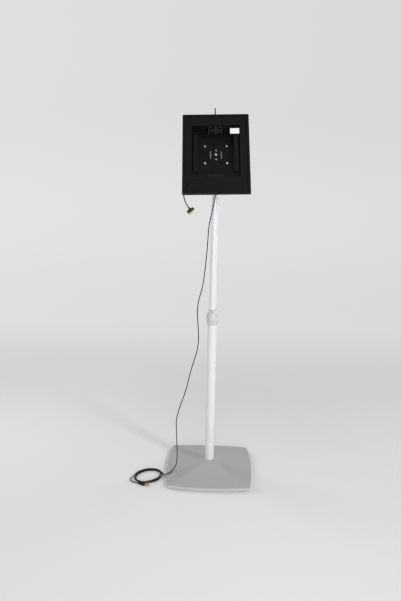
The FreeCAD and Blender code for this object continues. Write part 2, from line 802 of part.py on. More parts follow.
def shell_room(gap):
    """The room inside the shell, smaller all round by a gap."""
    step = wall + 1 + gap
    room = Part.makeLoft([edge_wire(step, seam + wall), back_wire(wall + gap, -wall)], True, True)
    return room.fuse(slab(width - 2 * step, height - 2 * step, 0.5, seam + wall - 0.01, 0))


shell_inner = shell_room(-size("tray_clearance"))


def shell_screw_spots():
    """Where the shell's screws go, with the seat of each head and the meeting plane of its bosses."""
    spots = []
    for sx in (-1, 1):
        for y in (height / 2 - size("shell_screw_top"), 0, size("shell_screw_foot") - height / 2):
            x = sx * (width / 2 - size("shell_screw_side"))
            head = size("shell_screw_head") + 0.2
            near = []
            for dx, dy in ((head, 0), (-head, 0), (0, head), (0, -head)):
                line = Part.LineSegment(Vector(x + dx, y + dy, -90), Vector(x + dx, y + dy, 0)).toShape()
                near.append(line.common(shell_outer).BoundBox.ZMin)
            seat = max(near) + 1.4
            spots.append((x, y, seat, min(seat + wall, panel_back - 0.2)))
    return spots


shell_spots = shell_screw_spots()


def make_front():
    """The moulded front: its rim, its panel and the wedge-shaped recess."""
    body = slab(width, height, size("front_corner"), -depth, 0)
    rim = size("rim_width")
    body = body.cut(slab(width - 2 * rim, height - 2 * rim, size("front_corner") / 2, panel_front, 1))

    def on_outline(edge):
        box = edge.BoundBox
        return (max(abs(box.XMax), abs(box.XMin)) > width / 2 - 0.1
                or max(abs(box.YMax), abs(box.YMin)) > height / 2 - 0.1)

    front_edges = [e for e in body.Edges if e.BoundBox.ZMin > -0.01 and e.Length > 3]
    body = body.makeFillet(size("front_edge_round"), [e for e in front_edges if on_outline(e)])
    body = body.cut(slab(width - 2 * wall, height - 2 * wall, 1.5, -depth - 1, panel_back))
    tray = wedge(recess_half + wall, recess_low - wall, recess_high + wall, panel_front - 0.5, wall)
    upright = [e for e in tray.Edges if max(e.BoundBox.XLength, e.BoundBox.YLength) < 0.01]
    body = body.fuse(tray.makeFillet(size("back_corner") - wall, upright))
    boss_room = shell_room(size("tray_clearance"))
    for x, y, seat, joint in shell_spots:
        if joint < panel_back - 0.5:
            boss = Part.makeCylinder(size("shell_boss_radius"), panel_back - joint, Vector(x, y, joint))
            body = body.fuse(boss.common(boss_room))
    body = body.cut(wedge(recess_half, recess_low, recess_high, 1, 0))
    ledge_top = panel_front - size("ledge_drop")
    ledge_low = ledge_top - size("ledge_thickness")
    ledge = Part.makeBox(size("label_width") + 1.2, size("label_length") + 1, size("ledge_thickness"),
                         Vector(recess_half - size("label_width") - 1,
                                recess_high - size("label_drop") - 0.5, ledge_low))
    body = body.fuse(ledge)
    tools = [floor_slot(sx * size("slot_offset")) for sx in (-1, 1)]
    tools += [floor_hole(x, y, size("mount_screw_radius") + 0.2) for x, y in mount_spots]
    tools += [floor_hole(x, y, size("stop_radius")) for x, y in stop_spots]
    tools.append(floor_hole(0, 0, size("pivot_radius") + 0.2))
    tools.append(floor_hole(0, -size("dimple_down"), size("dimple_radius"), -wall / 2))
    tools.append(on_floor(cable_slot(0, -20, 6)))
    tools.append(lock_bore(size("lock_radius"), recess_high - 1, recess_high + wall + 5))
    for x, y, _, joint in shell_spots:
        reach = panel_front - 1 - joint
        tools.append(Part.makeCylinder(size("shell_screw_radius"), reach, Vector(x, y, joint)))
    for side in (-1, 1):
        across = size("bracket_across") + side * (size("bracket_half") - size("bracket_screw_inset"))
        at = Vector(across, recess_high - 5, -size("bracket_front") - size("bracket_screw_back"))
        tools.append(Part.makeCylinder(size("bracket_screw_radius"), 20, at, Y))
    for tool in tools:
        body = body.cut(tool)
    return body.removeSplitter()


def make_rear():
    """The tapered shell behind the front, with the lock's boss and the screws' bosses."""
    body = shell_outer.cut(shell_inner)
    inside = shell_outer.common(slab(width, height, 0.5, -90, panel_back - 0.3))
    boss = lock_bore(size("lock_boss_radius"), recess_high + wall + 0.5, lock_face)
    body = body.fuse(boss)
    for x, y, seat, joint in shell_spots:
        post = Part.makeCylinder(size("shell_boss_radius"), joint + 90, Vector(x, y, -90))
        body = body.fuse(post.common(inside))
    for x, y, seat, joint in shell_spots:
        body = body.cut(Part.makeCylinder(size("shell_screw_radius") + 0.2, 90, Vector(x, y, -90)))
        body = body.cut(Part.makeCylinder(size("shell_screw_head") + 0.2, seat + 90, Vector(x, y, -90)))
    tools = [floor_slot(sx * size("slot_offset")) for sx in (-1, 1)]
    tools += [floor_hole(x, y, size("mount_screw_radius") + 0.2) for x, y in mount_spots]
    tools += [floor_hole(x, y, size("stop_radius")) for x, y in stop_spots]
    tools.append(floor_hole(0, 0, size("pivot_radius") + 0.2))
    tools.append(on_floor(cable_slot(0, -20, 6)))
    tools.append(lock_bore(size("lock_radius"), recess_high, lock_face + 1))
    for tool in tools:
        body = body.cut(tool)
    return body.removeSplitter()


keep("front_frame", solid(make_front()), head_place)
keep("rear_shell", solid(make_rear()), head_place)


def make_shell_screws():
    screws = []
    for x, y, seat, joint in shell_spots:
        head = Part.makeCylinder(size("shell_screw_head"), 1.3, Vector(x, y, seat - 1.3))
        shank = Part.makeCylinder(size("shell_screw_radius"), panel_front - 1.2 - seat, Vector(x, y, seat))
        screws.append(head.fuse(shank).removeSplitter())
    return Part.Compound(screws)


def make_rail(side, chamfer):
    """A support rail on the recess floor, hollow from behind."""
    low, high = recess_low + size("rail_rise"), recess_high - size("rail_drop")
    half = size("rail_width") / 2
    skin = size("rail_wall")
    body = wedge(half, low, high, panel_front, 0)
    if chamfer:
        corner = [e for e in body.Edges if e.BoundBox.XMin > half - 0.1 and e.BoundBox.YMax < low + 0.1]
        body = body.makeChamfer(1.4 * skin, corner)
    body = body.cut(wedge(half - skin, low + skin, high - skin, panel_front - skin, 1))
    body.translate(Vector(side * (recess_half - size("rail_gap") - half), 0, 0))
    return body


keep("shell_screws", solid(make_shell_screws()), head_place)
keep("rail_left", solid(make_rail(-1, False)), head_place)
keep("rail_right", solid(make_rail(1, True)), head_place)
label_at = ("recess_half - label_width - 0.3", "recess_high - label_drop", "-rim_rise - ledge_drop")
keep("label", block("label_width", "label_length", "label_thickness", label_at), head_place)

# Mount plate and swivel, in the recess floor's frame
plate_level = "-2 * shell_wall - mount_plate_thickness"


def make_mount_plate():
    side = size("mount_plate_side")
    body = slab(side, side, size("mount_plate_corner"), -plate_back, -2 * wall)
    for x, y in mount_spots:
        body = body.cut(Part.makeCylinder(size("mount_screw_radius"), 40, Vector(x, y, -20)))
    for x, y in stop_spots:
        body = body.cut(Part.makeCylinder(size("stop_radius"), 40, Vector(x, y, -20)))
    return body.cut(Part.makeCylinder(size("pivot_radius") + size("bolt_clearance"), 40, Vector(0, 0, -20)))


keep("mount_plate", solid(make_mount_plate()), floor_place)


def mount_screw(x, y):
    """A pan head screw with a cross-less socket, from the recess floor into the mount plate."""
    head = rod("mount_head_radius", "screw_head_height", (x, y, "0"))
    shank = rod("mount_screw_radius", "2 * shell_wall + mount_plate_thickness", (x, y, plate_level))
    socket = hexagon("2.5", "1.4", (x, y, "screw_head_height - 1.2"))
    return cut(fuse(head, shank), socket)


keep("mount_screws", compound(*four(mount_screw, "mount_pitch / 2")), floor_place)
washer_back = f"{disc_back} - flange_thickness - washer_slack - pivot_washer_height"
nut_back = f"{washer_back} - pivot_nut_height"
keep("pivot_bolt", cut(
    fuse(rod("pivot_head_radius", "pivot_head_height", ("0", "0", "0")),
         rod("pivot_radius", f"1 - ({nut_back})", ("0", "0", f"{nut_back} - 1"))),
    hexagon("pivot_socket_flats", "pivot_socket_depth + 1",
            ("0", "0", "pivot_head_height - pivot_socket_depth")),
), floor_place)
keep("pivot_washers", ring("pivot_washer_radius", "pivot_radius", "pivot_washer_height",
                           ("0", "0", washer_back)), floor_place)
keep("pivot_nut", cut(
    hexagon("pivot_nut_flats", "pivot_nut_height", ("0", "0", nut_back)),
    rod("pivot_radius", "pivot_nut_height", ("0", "0", nut_back)),
), floor_place)


def stop_pin(sign):
    up = f"{sign} * stop_circle"
    shank = rod("stop_radius", f"-({disc_back}) + stop_depth", ("0", up, f"{disc_back} - stop_depth"))
    head = cone("stop_radius + 0.6", "stop_radius - 0.6", "stop_head_height", ("0", up, "0"))
    return fuse(shank, head)


keep("stop_pins", compound(stop_pin(1), stop_pin(-1)), floor_place)


def make_grommet():
    """A lining of the cable slot with a lip on both sides."""
    lip = size("grommet_lip")
    body = cable_slot(0, -2 * wall, 0)
    body = body.fuse(cable_slot(-lip, 0, lip)).fuse(cable_slot(-lip, -2 * wall - lip, -2 * wall))
    return body.cut(cable_slot(size("grommet_wall"), -20, 20)).removeSplitter()


keep("cable_grommet", solid(make_grommet()), floor_place)

# Lock, in the front plane's frame, along its Y axis
lock_at = ("lock_across", "recess_high - lock_drop", "-lock_depth")
housing_length = "front_height / 2 + lock_proud - recess_high + lock_drop"
face_y = "front_height / 2 + lock_proud"
housing_form = fuse(
    rod("lock_radius", housing_length, lock_at, "y"),
    rod("lock_flange_radius", "lock_flange_height", ("lock_across", face_y, "-lock_depth"), "y"),
)
lock_bore_at = ("lock_across", "recess_high - lock_drop - 1", "-lock_depth")
keep("lock_housing", cut(
    housing_form,
    rod("plug_radius + lock_clearance", "100", lock_bore_at, "y"),
), head_place)
lock_nut_at = ("lock_across", "recess_high - lock_nut_height", "-lock_depth")
keep("lock_nut", cut(
    hexagon("lock_nut_flats", "lock_nut_height", lock_nut_at, "y"),
    rod("lock_radius", "lock_nut_height", lock_nut_at, "y"),
), head_place)

bracket_left = "bracket_across - bracket_half"
bracket_right = "bracket_across + bracket_half"
bracket_end_back = "-bracket_front - bracket_end_depth"


def bracket_end(plate_x, pad_x):
    """One end of the bar: a plate from its foot up to the recess's ceiling, with a pad for a screw."""
    plate = block("bracket_thickness", "bracket_drop + bracket_foot_length", "bracket_end_depth",
                  (plate_x, "recess_high - bracket_drop - bracket_foot_length", bracket_end_back))
    pad = block("bracket_pad_length", "bracket_thickness", "bracket_end_depth",
                (pad_x, "recess_high - bracket_thickness", bracket_end_back))
    return [plate, pad]


bracket_form = fuse(
    block("2 * bracket_half", "bracket_thickness", "bracket_depth",
          (bracket_left, "recess_high - bracket_drop", "-bracket_front - bracket_depth")),
    *bracket_end(bracket_left, bracket_left),
    *bracket_end(f"{bracket_right} - bracket_thickness", f"{bracket_right} - bracket_pad_length"),
)
bracket_screw_z = "-bracket_front - bracket_screw_back"
BRACKET_SCREWS = (f"{bracket_left} + bracket_screw_inset", f"{bracket_right} - bracket_screw_inset")


def bracket_shank(middle):
    """The straight part of a screw up through a pad into the recess's ceiling."""
    return rod("bracket_screw_radius", "bracket_thickness + shell_wall",
               (middle, "recess_high - bracket_thickness", bracket_screw_z), "y")


def bracket_screw(middle):
    head = rod("2 * bracket_screw_radius", "bracket_screw_head",
               (middle, "recess_high - bracket_thickness - bracket_screw_head", bracket_screw_z), "y")
    return fuse(bracket_shank(middle), head)


keep("lock_bracket", cut(
    bracket_form,
    rod("lock_radius", "40", ("lock_across", "recess_high - bracket_drop - 5", "-lock_depth"), "y"),
    *[bracket_shank(middle) for middle in BRACKET_SCREWS],
), head_place)
keep("bracket_screws", compound(*[bracket_screw(middle) for middle in BRACKET_SCREWS]), head_place)

cam_back = "recess_high - lock_drop - washer_slack - cam_thickness"
plug_length = f"{face_y} + lock_flange_height - ({cam_back})"
slot_wide = "key_width + 2 * key_clearance"
keep("lock_plug", cut(
    rod("plug_radius", plug_length, ("lock_across", cam_back, "-lock_depth"), "y"),
    block("key_thickness + 2 * key_clearance", "key_blade + 1", slot_wide,
          ("lock_across - key_thickness / 2 - key_clearance", f"{face_y} + lock_flange_height - key_blade",
           f"-lock_depth - ({slot_wide}) / 2")),
    rod("cam_screw_radius", "12", ("lock_across", f"{cam_back} - 1", "-lock_depth"), "y"),
), head_place)
keep("lock_cam", cut(
    fuse(
        rod("plug_radius + 2.5", "cam_thickness", ("lock_across", cam_back, "-lock_depth"), "y"),
        block("cam_reach", "cam_thickness", "cam_width",
              ("lock_across", cam_back, "-lock_depth - cam_width / 2")),
    ),
    rod("plug_radius", "40", ("lock_across", f"{cam_back} - 10", "-lock_depth"), "y"),
), head_place)
keep("cam_screw", fuse(
    rod("cam_screw_radius", "11", ("lock_across", cam_back, "-lock_depth"), "y"),
    rod("plug_radius + 1.2", "2.4", ("lock_across", f"{cam_back} - 2.4", "-lock_depth"), "y"),
), head_place)
key_low = f"{face_y} + lock_flange_height - key_blade + 1"
bow_y = f"{face_y} + lock_flange_height + key_neck + key_bow_radius"
keep("key", cut(
    fuse(
        block("key_thickness", "key_blade + key_neck + 4", "key_width",
              ("lock_across - key_thickness / 2", key_low, "-lock_depth - key_width / 2")),
        rod("key_bow_radius", "key_bow_thickness",
            ("lock_across - key_bow_thickness / 2", bow_y, "-lock_depth"), "x"),
    ),
    rod("key_hole_radius", "2 * key_bow_radius",
        ("lock_across - key_bow_radius", f"{bow_y} + key_hole_up", "-lock_depth"), "x"),
), head_place)


# Cord
def rounded_path(points):
    """Straight runs joined by arcs as large as the runs allow; returns the wire and its radii."""
    edges, radii = [], []
    last = points[0]
    for before, corner, after in zip(points, points[1:], points[2:]):
        back, ahead = (before - corner), (after - corner)
        half_turn = (math.pi - back.getAngle(ahead)) / 2
        run = min(back.Length, ahead.Length)
        set_back = 0.45 * run
        radius = set_back / math.tan(half_turn)
        radii.append(radius)
        start = corner + back.normalize() * set_back
        end = corner + ahead.normalize() * set_back
        inward = (back + ahead).normalize()
        middle = corner + inward * (radius / math.cos(half_turn) - radius)
        edges.append(Part.LineSegment(last, start).toShape())
        edges.append(Part.Arc(start, middle, end).toShape())
        last = end
    edges.append(Part.LineSegment(last, points[-1]).toShape())
    return edges, radii


def tube(edges):
    """A round tube along tangent edges."""
    wire = Part.Wire(edges)
    start = edges[0].valueAt(edges[0].FirstParameter)
    tangent = edges[0].tangentAt(edges[0].FirstParameter)
    profile = Part.Wire(Part.makeCircle(size("cord_radius"), start, tangent))
    made = wire.makePipeShell([profile], True, False)
    expected = math.pi * size("cord_radius") ** 2 * wire.Length
    if abs(made.Volume / expected - 1) > 0.01:
        raise ValueError(f"a cord's tube has {made.Volume / expected:.3f} of its volume")
    return made


def route(name, points):
    edges, radii = rounded_path([Vector(*p) for p in points])
    print(name, "radii", [round(r, 1) for r in radii], "length", round(sum(e.Length for e in edges)))
    return tube(edges)


def from_frame(place, points):
    """Points given in a tilted frame, in the stand's own frame."""
    return [tuple(place.multVec(Vector(*p))) for p in points]


clip_y = -(size("upper_radius") + size("clip_wall") + size("cord_radius"))
clip_middle = size("tilt_height") - size("clip_drop") + size("clip_height") / 2
# The list's heights are for a clip at 1104; the part above the base follows the clip.
HANGING = [
    (3, clip_y, 1104), (3, clip_y, 1085), (1, -24, 1063), (-4, -28.5, 1032), (-12, -32, 996),
    (-19.5, -35, 958), (-22, -35.6, 902), (-26, -36, 843), (-31, -35.8, 788), (-38, -35.7, 736),
    (-52, -35.5, 690), (-55.5, -35.4, 642), (-50.5, -35.2, 588), (-48, -35, 535), (-56.5, -34.9, 484),
    (-73, -34.8, 433), (-84.5, -34.7, 381), (-97, -34.5, 328), (-116, -34.4, 275), (-129.5, -34.2, 221),
    (-127.5, -34, 171), (-126.2, -33.2, 121), (-123.6, -31.8, 80),
]
# From there the cord rests on the base, drops over its rim and turns into the coil.
RESTING = [
    (-125.4, -31.2, 50), (-127.6, -34.2, 34), (-132.2, -43, 24.5), (-138.5, -54, 20.4), (-146, -65.6, 18.6),
    (-154.2, -77.3, 17.9), (-158.6, -79.65, 17.5), (-163.2, -80, 16.6), (-167.5, -78.4, 14.2),
    (-171, -75.1, 11.2), (-172, -69.7, 7.9), (-173.2, -62.8, 4.9), (-175.6, -55.6, 2.7),
    (-179.1, -48.9, 1.9),
]
hang_foot = 50.0
hang_share = (clip_middle - hang_foot) / (1104.0 - hang_foot)
HANGING = [(x, y, hang_foot + (z - hang_foot) * hang_share) for x, y, z in HANGING]
hang_split = tuple((a + b) / 2 for a, b in zip(HANGING[-2], HANGING[-1]))

# The tail comes out of the cable slot and lies on the front, in the front plane's frame.
TAIL = [
    (-16, -83.9, -10.2), (-16, -83.29, -6.55), (-17.56, -82.74, -3.24), (-20.4, -82.35, -0.9),
    (-26.3, -82.9, 1.3), (-37, -86.6, 0.2), (-49, -90.2, -0.9), (-64, -91.4, -1.0), (-79, -95.6, -1.1),
    (-89, -106.2, -1.1), (-95.5, -122.7, -1.0), (-101, -137, 1.1), (-104.5, -146.5, 2.8),
    (-106.6, -152.8, 2.7), (-107.9, -157, 0.6), (-107.2, -163.5, -3.4),
]
# It then hangs to the plug; its heights are from the tilt axis.
HANGING_TAIL = [(x, y, size("tilt_height") + z) for x, y, z in (
    (-97.4, -137.2, -127.7), (-91.8, -137, -138.1), (-86.34, -136, -145.883), (-81.7, -136, -152.4),
)]
plug_start = Vector(*HANGING_TAIL[-1])
keep("cord_tail", solid(route("cord_tail", from_frame(head_place, TAIL) + HANGING_TAIL)))
keep("cord_run", solid(route("cord_run", HANGING[:-1] + [hang_split])))
keep("cord_rest", solid(route("cord_rest", [hang_split, HANGING[-1]] + RESTING)))

dock_across = Vector(18.4, 0, 13.1).normalize()
dock_place = Placement(plug_start, Rotation(dock_across, Y, dock_across.cross(Y), "XYZ"))
keep("dock_plug", block("dock_width", "dock_thickness", "dock_length",
                        ("-dock_width / 2", "-dock_thickness / 2", "-dock_length")), dock_place)
dock_tip_at = ("-dock_tip_width / 2", "-dock_tip_thickness / 2", "-dock_length - dock_tip_length")
keep("dock_tip", block("dock_tip_width", "dock_tip_thickness", "dock_tip_length", dock_tip_at), dock_place)

# Slack behind the enclosure: from the cable slot to the flange's eye, and on to the mast's clip.
eye_length = 6.0
eye_left = -10.0
eye_outer = size("cord_radius") + size("clip_wall")
eye_y = -(size("flange_radius") + eye_outer + 0.6)
eye_z = flange_back + 1.2


def make_flange_clip():
    """An eye on the flange's rim that holds the cord."""
    hole = Part.makeCylinder(size("cord_radius") + size("cord_clearance"), 3 * eye_length,
                             Vector(eye_left - eye_length, eye_y, eye_z), X)
    ring_form = Part.makeCylinder(eye_outer, eye_length, Vector(eye_left, eye_y, eye_z), X)
    reach = -eye_y - size("flange_radius") + 2
    web = Part.makeBox(eye_length, reach, 3, Vector(eye_left, eye_y, eye_z - 0.6))
    disc = Part.makeCylinder(size("flange_radius"), 30, Vector(0, 0, flange_back - 15))
    return ring_form.fuse(web).cut(disc).cut(hole).removeSplitter()


keep("flange_clip", solid(make_flange_clip()), tilt_place)
eye_middle = eye_left + eye_length / 2
slot_back = [(-16, cable_slot_y, -wall), (-16, cable_slot_y, -12)]
slack_a = from_frame(floor_place, slot_back) + from_frame(tilt_place, [
    (-17, -86, 12.5), (-21, -73, 6.5), (-26, -59, 7), (-26.5, -47, 13), (-20.5, eye_y - 2.6, 18.8),
    (-13.5, eye_y, eye_z), (eye_middle, eye_y, eye_z),
])
keep("cord_swivel", solid(route("cord_swivel", slack_a)))
slack_b = from_frame(tilt_place, [(eye_middle, eye_y, eye_z), (1.5, eye_y, eye_z)])
slack_b += [(x, y, size("tilt_height") + z) for x, y, z in (
    (7.5, -41, -20.3), (8.5, -37.5, -31.3), (6.5, -28.5, -43.8), (3.6, -20.5, -56.3))]
slack_b += [(3, clip_y, clip_middle + 8.5), (3, clip_y, clip_middle)]
keep("cord_tilt", solid(route("cord_tilt", slack_b)))


# Coil on the floor: quarter turns joined by pairs of arcs
def biarc(p0, t0, p1, t1):
    """Two arcs that leave p0 along t0 and reach p1 along t1."""
    v, t = p1 - p0, t0 + t1
    a = 2 * (1 - t0.dot(t1))
    b = 2 * v.dot(t)
    c = -v.dot(v)
    d = -c / b if abs(a) < 1e-9 else (-b + math.sqrt(b * b - 4 * a * c)) / (2 * a)
    joint = (p0 + t0 * d + p1 - t1 * d) / 2
    edges = []
    for start, along, end, forward in ((p0, t0, joint, True), (p1, t1 * -1, joint, False)):
        chord = end - start
        across = chord - along * chord.dot(along)
        first, last = (start, end) if forward else (end, start)
        if across.Length < 1e-6:
            edges.append(Part.LineSegment(first, last).toShape())
            continue
        radius = chord.dot(chord) / (2 * across.Length)
        centre = start + across.normalize() * radius
        middle = centre + ((start + end) / 2 - centre).normalize() * radius
        edges.append(Part.Arc(first, middle, last).toShape())
    return edges


def coil_knots():
    """Points and directions at every quarter turn, in on the floor and out again on top."""
    knots = []
    lean = Rotation(Z, size("coil_turn"))
    middle = Vector(-229.6, -73.3, size("cord_radius") + 0.03)
    for k in range(14):
        upper = k > 6
        inward = (14 - k if upper else k) / 4
        a = size("coil_half_length") - size("coil_step") * inward
        b = size("coil_half_width") - size("coil_side_step") * inward
        angle = math.pi / 2 * k
        centre = middle + Vector(-0.9, -0.65, 0) * inward
        if upper:
            centre += Vector(-0.6 + 0.4 * math.sin(k), -0.4, size("coil_lift"))
        place = centre + lean.multVec(Vector(a * math.cos(angle), b * math.sin(angle), 0))
        knots.append((place, lean.multVec(Vector(-math.sin(angle), math.cos(angle), 0))))
    return knots


def least_gap(edges, spacing=2.0):
    """The least distance between turns of the same tube, measured on points along it."""
    points, travel = [], []
    run = 0.0
    for edge in edges:
        count = max(2, int(edge.Length / spacing))
        for i in range(count):
            p = edge.valueAt(edge.FirstParameter + (edge.LastParameter - edge.FirstParameter) * i / count)
            points.append(p)
            travel.append(run + edge.Length * i / count)
        run += edge.Length
    least = 1e9
    for i, p in enumerate(points):
        for j in range(i + 1, len(points)):
            if travel[j] - travel[i] > 25:
                least = min(least, p.distanceToPoint(points[j]))
    return least - 2 * size("cord_radius")


def coil_edges():
    """The whole coil, from the end of the resting run to the plug that lies beside it."""
    start = Vector(*RESTING[-1])
    level = size("usb_height") / 2
    knots = [(start, (start - Vector(*RESTING[-2])).normalize())] + coil_knots()
    knots += [
        (Vector(-282.8, -69.4, 6), Vector(-0.26, -0.966, 0).normalize()),
        (Vector(-287.5, -87, 6), Vector(-0.31, -0.95, 0).normalize()),
        (Vector(-295.5, -106.5, 5), Vector(0.03, -1, 0).normalize()),
        (Vector(-282.5, -119.6, 4.2), Vector(0.9, -0.44, 0).normalize()),
        (Vector(-253.5, -129.7, level), Vector(0.985, -0.174, 0).normalize()),
    ]
    edges = []
    for (p0, t0), (p1, t1) in zip(knots, knots[1:]):
        edges += biarc(p0, t0, p1, t1)
    return edges, knots[-1]


edges, (usb_at, usb_aim) = coil_edges()
print("cord_coil length", round(sum(e.Length for e in edges)), "least gap", round(least_gap(edges), 2))
keep("cord_coil", solid(tube(edges)))
usb_turn = Rotation(usb_aim, Z.cross(usb_aim), Z, "XYZ")
usb_place = Placement(usb_at, usb_turn)
keep("usb_plug", block("usb_length", "usb_width", "usb_height",
                       ("0", "-usb_width / 2", "-usb_height / 2")), usb_place)
keep("usb_shell", block("usb_tip_length", "usb_tip_width", "usb_tip_height",
                        ("usb_length", "-usb_tip_width / 2", "-usb_tip_height / 2")), usb_place)

doc.recompute()
for thing in doc.Objects:
    if "Invalid" in thing.State or "Error" in thing.State:
        raise ValueError(f"{thing.Label} failed: {thing.State}")
for node, thing in pieces.items():
    if thing.Shape.isNull() or not thing.Shape.isValid() or not thing.Shape.Solids:
        raise ValueError(f"{node} has no valid solid")

os.makedirs("parts", exist_ok=True)
for node, thing in pieces.items():
    thing.Shape.exportStep(f"parts/{node}.step")
print(len(pieces), "nodes")
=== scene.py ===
import json
import math

import bmesh
import bpy
from mathutils import Matrix, Vector


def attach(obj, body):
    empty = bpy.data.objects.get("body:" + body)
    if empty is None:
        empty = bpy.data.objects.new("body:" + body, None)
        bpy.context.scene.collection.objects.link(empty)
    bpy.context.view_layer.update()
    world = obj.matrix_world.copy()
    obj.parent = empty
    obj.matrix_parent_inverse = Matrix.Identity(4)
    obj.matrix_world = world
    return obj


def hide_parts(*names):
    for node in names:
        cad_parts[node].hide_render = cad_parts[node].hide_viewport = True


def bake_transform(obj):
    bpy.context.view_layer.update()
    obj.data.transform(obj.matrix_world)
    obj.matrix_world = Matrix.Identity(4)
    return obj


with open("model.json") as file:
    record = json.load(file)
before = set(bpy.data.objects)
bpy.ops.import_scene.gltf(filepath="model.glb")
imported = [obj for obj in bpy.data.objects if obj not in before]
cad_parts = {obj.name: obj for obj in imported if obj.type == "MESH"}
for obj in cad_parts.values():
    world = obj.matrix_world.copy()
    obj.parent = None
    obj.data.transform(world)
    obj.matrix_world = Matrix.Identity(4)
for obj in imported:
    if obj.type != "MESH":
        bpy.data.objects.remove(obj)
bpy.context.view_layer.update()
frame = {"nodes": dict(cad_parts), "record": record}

MM = 0.001

# Where the tilt joint and the enclosure are, in metres
HINGE_HEIGHT = 1.1783
FLOOR_ABOVE_HINGE = 0.035
TILT = math.radians(48.5)
TWIST = math.radians(2.1)
RAKE = math.radians(9.5)
FLOOR_SHIFT = 0.0075 * math.cos(RAKE)
FLOOR_DEPTH = 0.02173 + math.tan(RAKE) * FLOOR_SHIFT

stand_frame = Matrix.Identity(4)
tilt_frame = Matrix.Translation((0, 0, HINGE_HEIGHT)) @ Matrix.Rotation(TILT, 4, "X")
floor_frame = tilt_frame @ Matrix.Translation((0, 0, FLOOR_ABOVE_HINGE)) @ Matrix.Rotation(TWIST, 4, "Z")
floor_in_head = Matrix.Translation((0, FLOOR_SHIFT, -FLOOR_DEPTH)) @ Matrix.Rotation(-RAKE, 4, "X")
head_frame = floor_frame @ floor_in_head.inverted()


# Materials
class Value:
    """A shader socket that takes part in arithmetic: each operation adds its Math node."""

    def __init__(self, finish, socket):
        self.finish = finish
        self.socket = socket

    def math(self, operation, *terms):
        return self.finish.node("ShaderNodeMath", terms, operation=operation)

    def __add__(self, other):
        return self.math("ADD", self, other)

    __radd__ = __add__

    def __mul__(self, other):
        return self.math("MULTIPLY", self, other)

    __rmul__ = __mul__

    def __sub__(self, other):
        return self.math("SUBTRACT", self, other)

    def __rsub__(self, other):
        return self.math("SUBTRACT", other, self)

    def above(self, level, soft):
        """0 below a level, 1 above it, with a soft step between."""
        limits = {"Value": self, "From Min": level - soft, "From Max": level + soft}
        return self.finish.node("ShaderNodeMapRange", limits, interpolation_type="SMOOTHSTEP")


class Finish:
    """A material built of nodes."""

    def __init__(self, name, **settings):
        self.material = bpy.data.materials.new(name)
        self.material.use_nodes = True
        self.tree = self.material.node_tree
        self.shader = self.tree.nodes["Principled BSDF"]
        self.place = self.node("ShaderNodeTexCoord", {}, out="Object")
        self.feed(self.shader, settings)

    def feed(self, node, inputs):
        """Sets or links sockets by name or number."""
        pairs = inputs.items() if isinstance(inputs, dict) else enumerate(inputs)
        for key, value in pairs:
            if isinstance(key, str):
                key = key.replace("_", " ")
            socket = node.inputs[key]
            if isinstance(value, Value):
                self.tree.links.new(value.socket, socket)
            elif isinstance(value, tuple) and len(value) == 3 and socket.type == "RGBA":
                socket.default_value = (*value, 1)
            else:
                socket.default_value = value

    def node(self, kind, inputs, out=0, **settings):
        made = self.tree.nodes.new(kind)
        for key, value in settings.items():
            setattr(made, key, value)
        self.feed(made, inputs)
        return Value(self, made.outputs[out])

    def axes(self):
        """The place on the object, as three numbers in metres."""
        split = self.node("ShaderNodeSeparateXYZ", [self.place]).socket.node
        return [Value(self, output) for output in split.outputs]

    def noise(self, scale, detail=2.0, stretch=(1, 1, 1)):
        """Noise at a scale per metre, from 0 to 1."""
        place = self.node("ShaderNodeVectorMath", [self.place, stretch], operation="MULTIPLY")
        return self.node("ShaderNodeTexNoise", {"Vector": place, "Scale": scale, "Detail": detail})

    def blend(self, low, high, amount):
        """A colour between two, by a mask."""
        mix = self.tree.nodes.new("ShaderNodeMix")
        mix.data_type = "RGBA"
        self.feed(mix, {0: amount, 6: low, 7: high})
        return Value(self, mix.outputs[2])

    def bump(self, height, strength, depth, edge=0.0):
        """Relief from a height, over edges rounded by a radius."""
        inputs = {"Height": height, "Strength": strength, "Distance": depth}
        if edge:
            inputs["Normal"] = self.node("ShaderNodeBevel", {"Radius": edge}, samples=6)
        return self.node("ShaderNodeBump", inputs)

    def surface(self, **inputs):
        self.feed(self.shader, inputs)
        return self.material


def shade(color, factor):
    return tuple(min(1.0, c * factor) for c in color)


def powder_coat(name, color, roughness, grain, edge=0.0006, level=0.5, painted_highlight_below=0.0):
    """Baked powder paint: orange peel, unevenness and faint dust, and a painted highlight that makes it
    paler below a given height.
    """
    made = Finish(name, Specular_IOR_Level=level)
    peel = made.noise(grain, detail=1.5)
    broad = made.noise(scale=9.0, detail=3.0)
    dust = made.noise(scale=420.0, detail=4.0).above(0.66, soft=0.05)
    body = made.blend(shade(color, 0.97), shade(color, 1.03), broad)
    # Below the given height the colour is lightened 1.22 times: a painted highlight on the base's lit front
    # rim.
    if painted_highlight_below:
        height = made.axes()[2]
        body = made.blend(shade(color, 1.22), body, height.above(painted_highlight_below, soft=0.0006))
    return made.surface(
        Base_Color=made.blend(body, shade(color, 1.08), dust * 0.5),
        Roughness=roughness + 0.08 * (broad - 0.5) + 0.1 * dust,
        Normal=made.bump(peel, strength=0.35, depth=0.00025, edge=edge),
    )


def moulded(name, color, roughness, grain, depth=0.00012, level=0.45):
    """Moulded plastic with a fine spark-eroded texture and a few lighter specks."""
    made = Finish(name, Specular_IOR_Level=level)
    fine = made.noise(grain, detail=3.0)
    broad = made.noise(scale=14.0, detail=2.0)
    rub = made.noise(scale=70.0, detail=5.0).above(0.62, soft=0.12)
    body = made.blend(shade(color, 0.9), shade(color, 1.1), broad)
    return made.surface(
        Base_Color=made.blend(body, shade(color, 1.25), rub * 0.4),
        Roughness=roughness + 0.1 * (fine - 0.5) - 0.08 * rub,
        Normal=made.bump(fine, strength=0.3, depth=depth, edge=0.0004),
    )


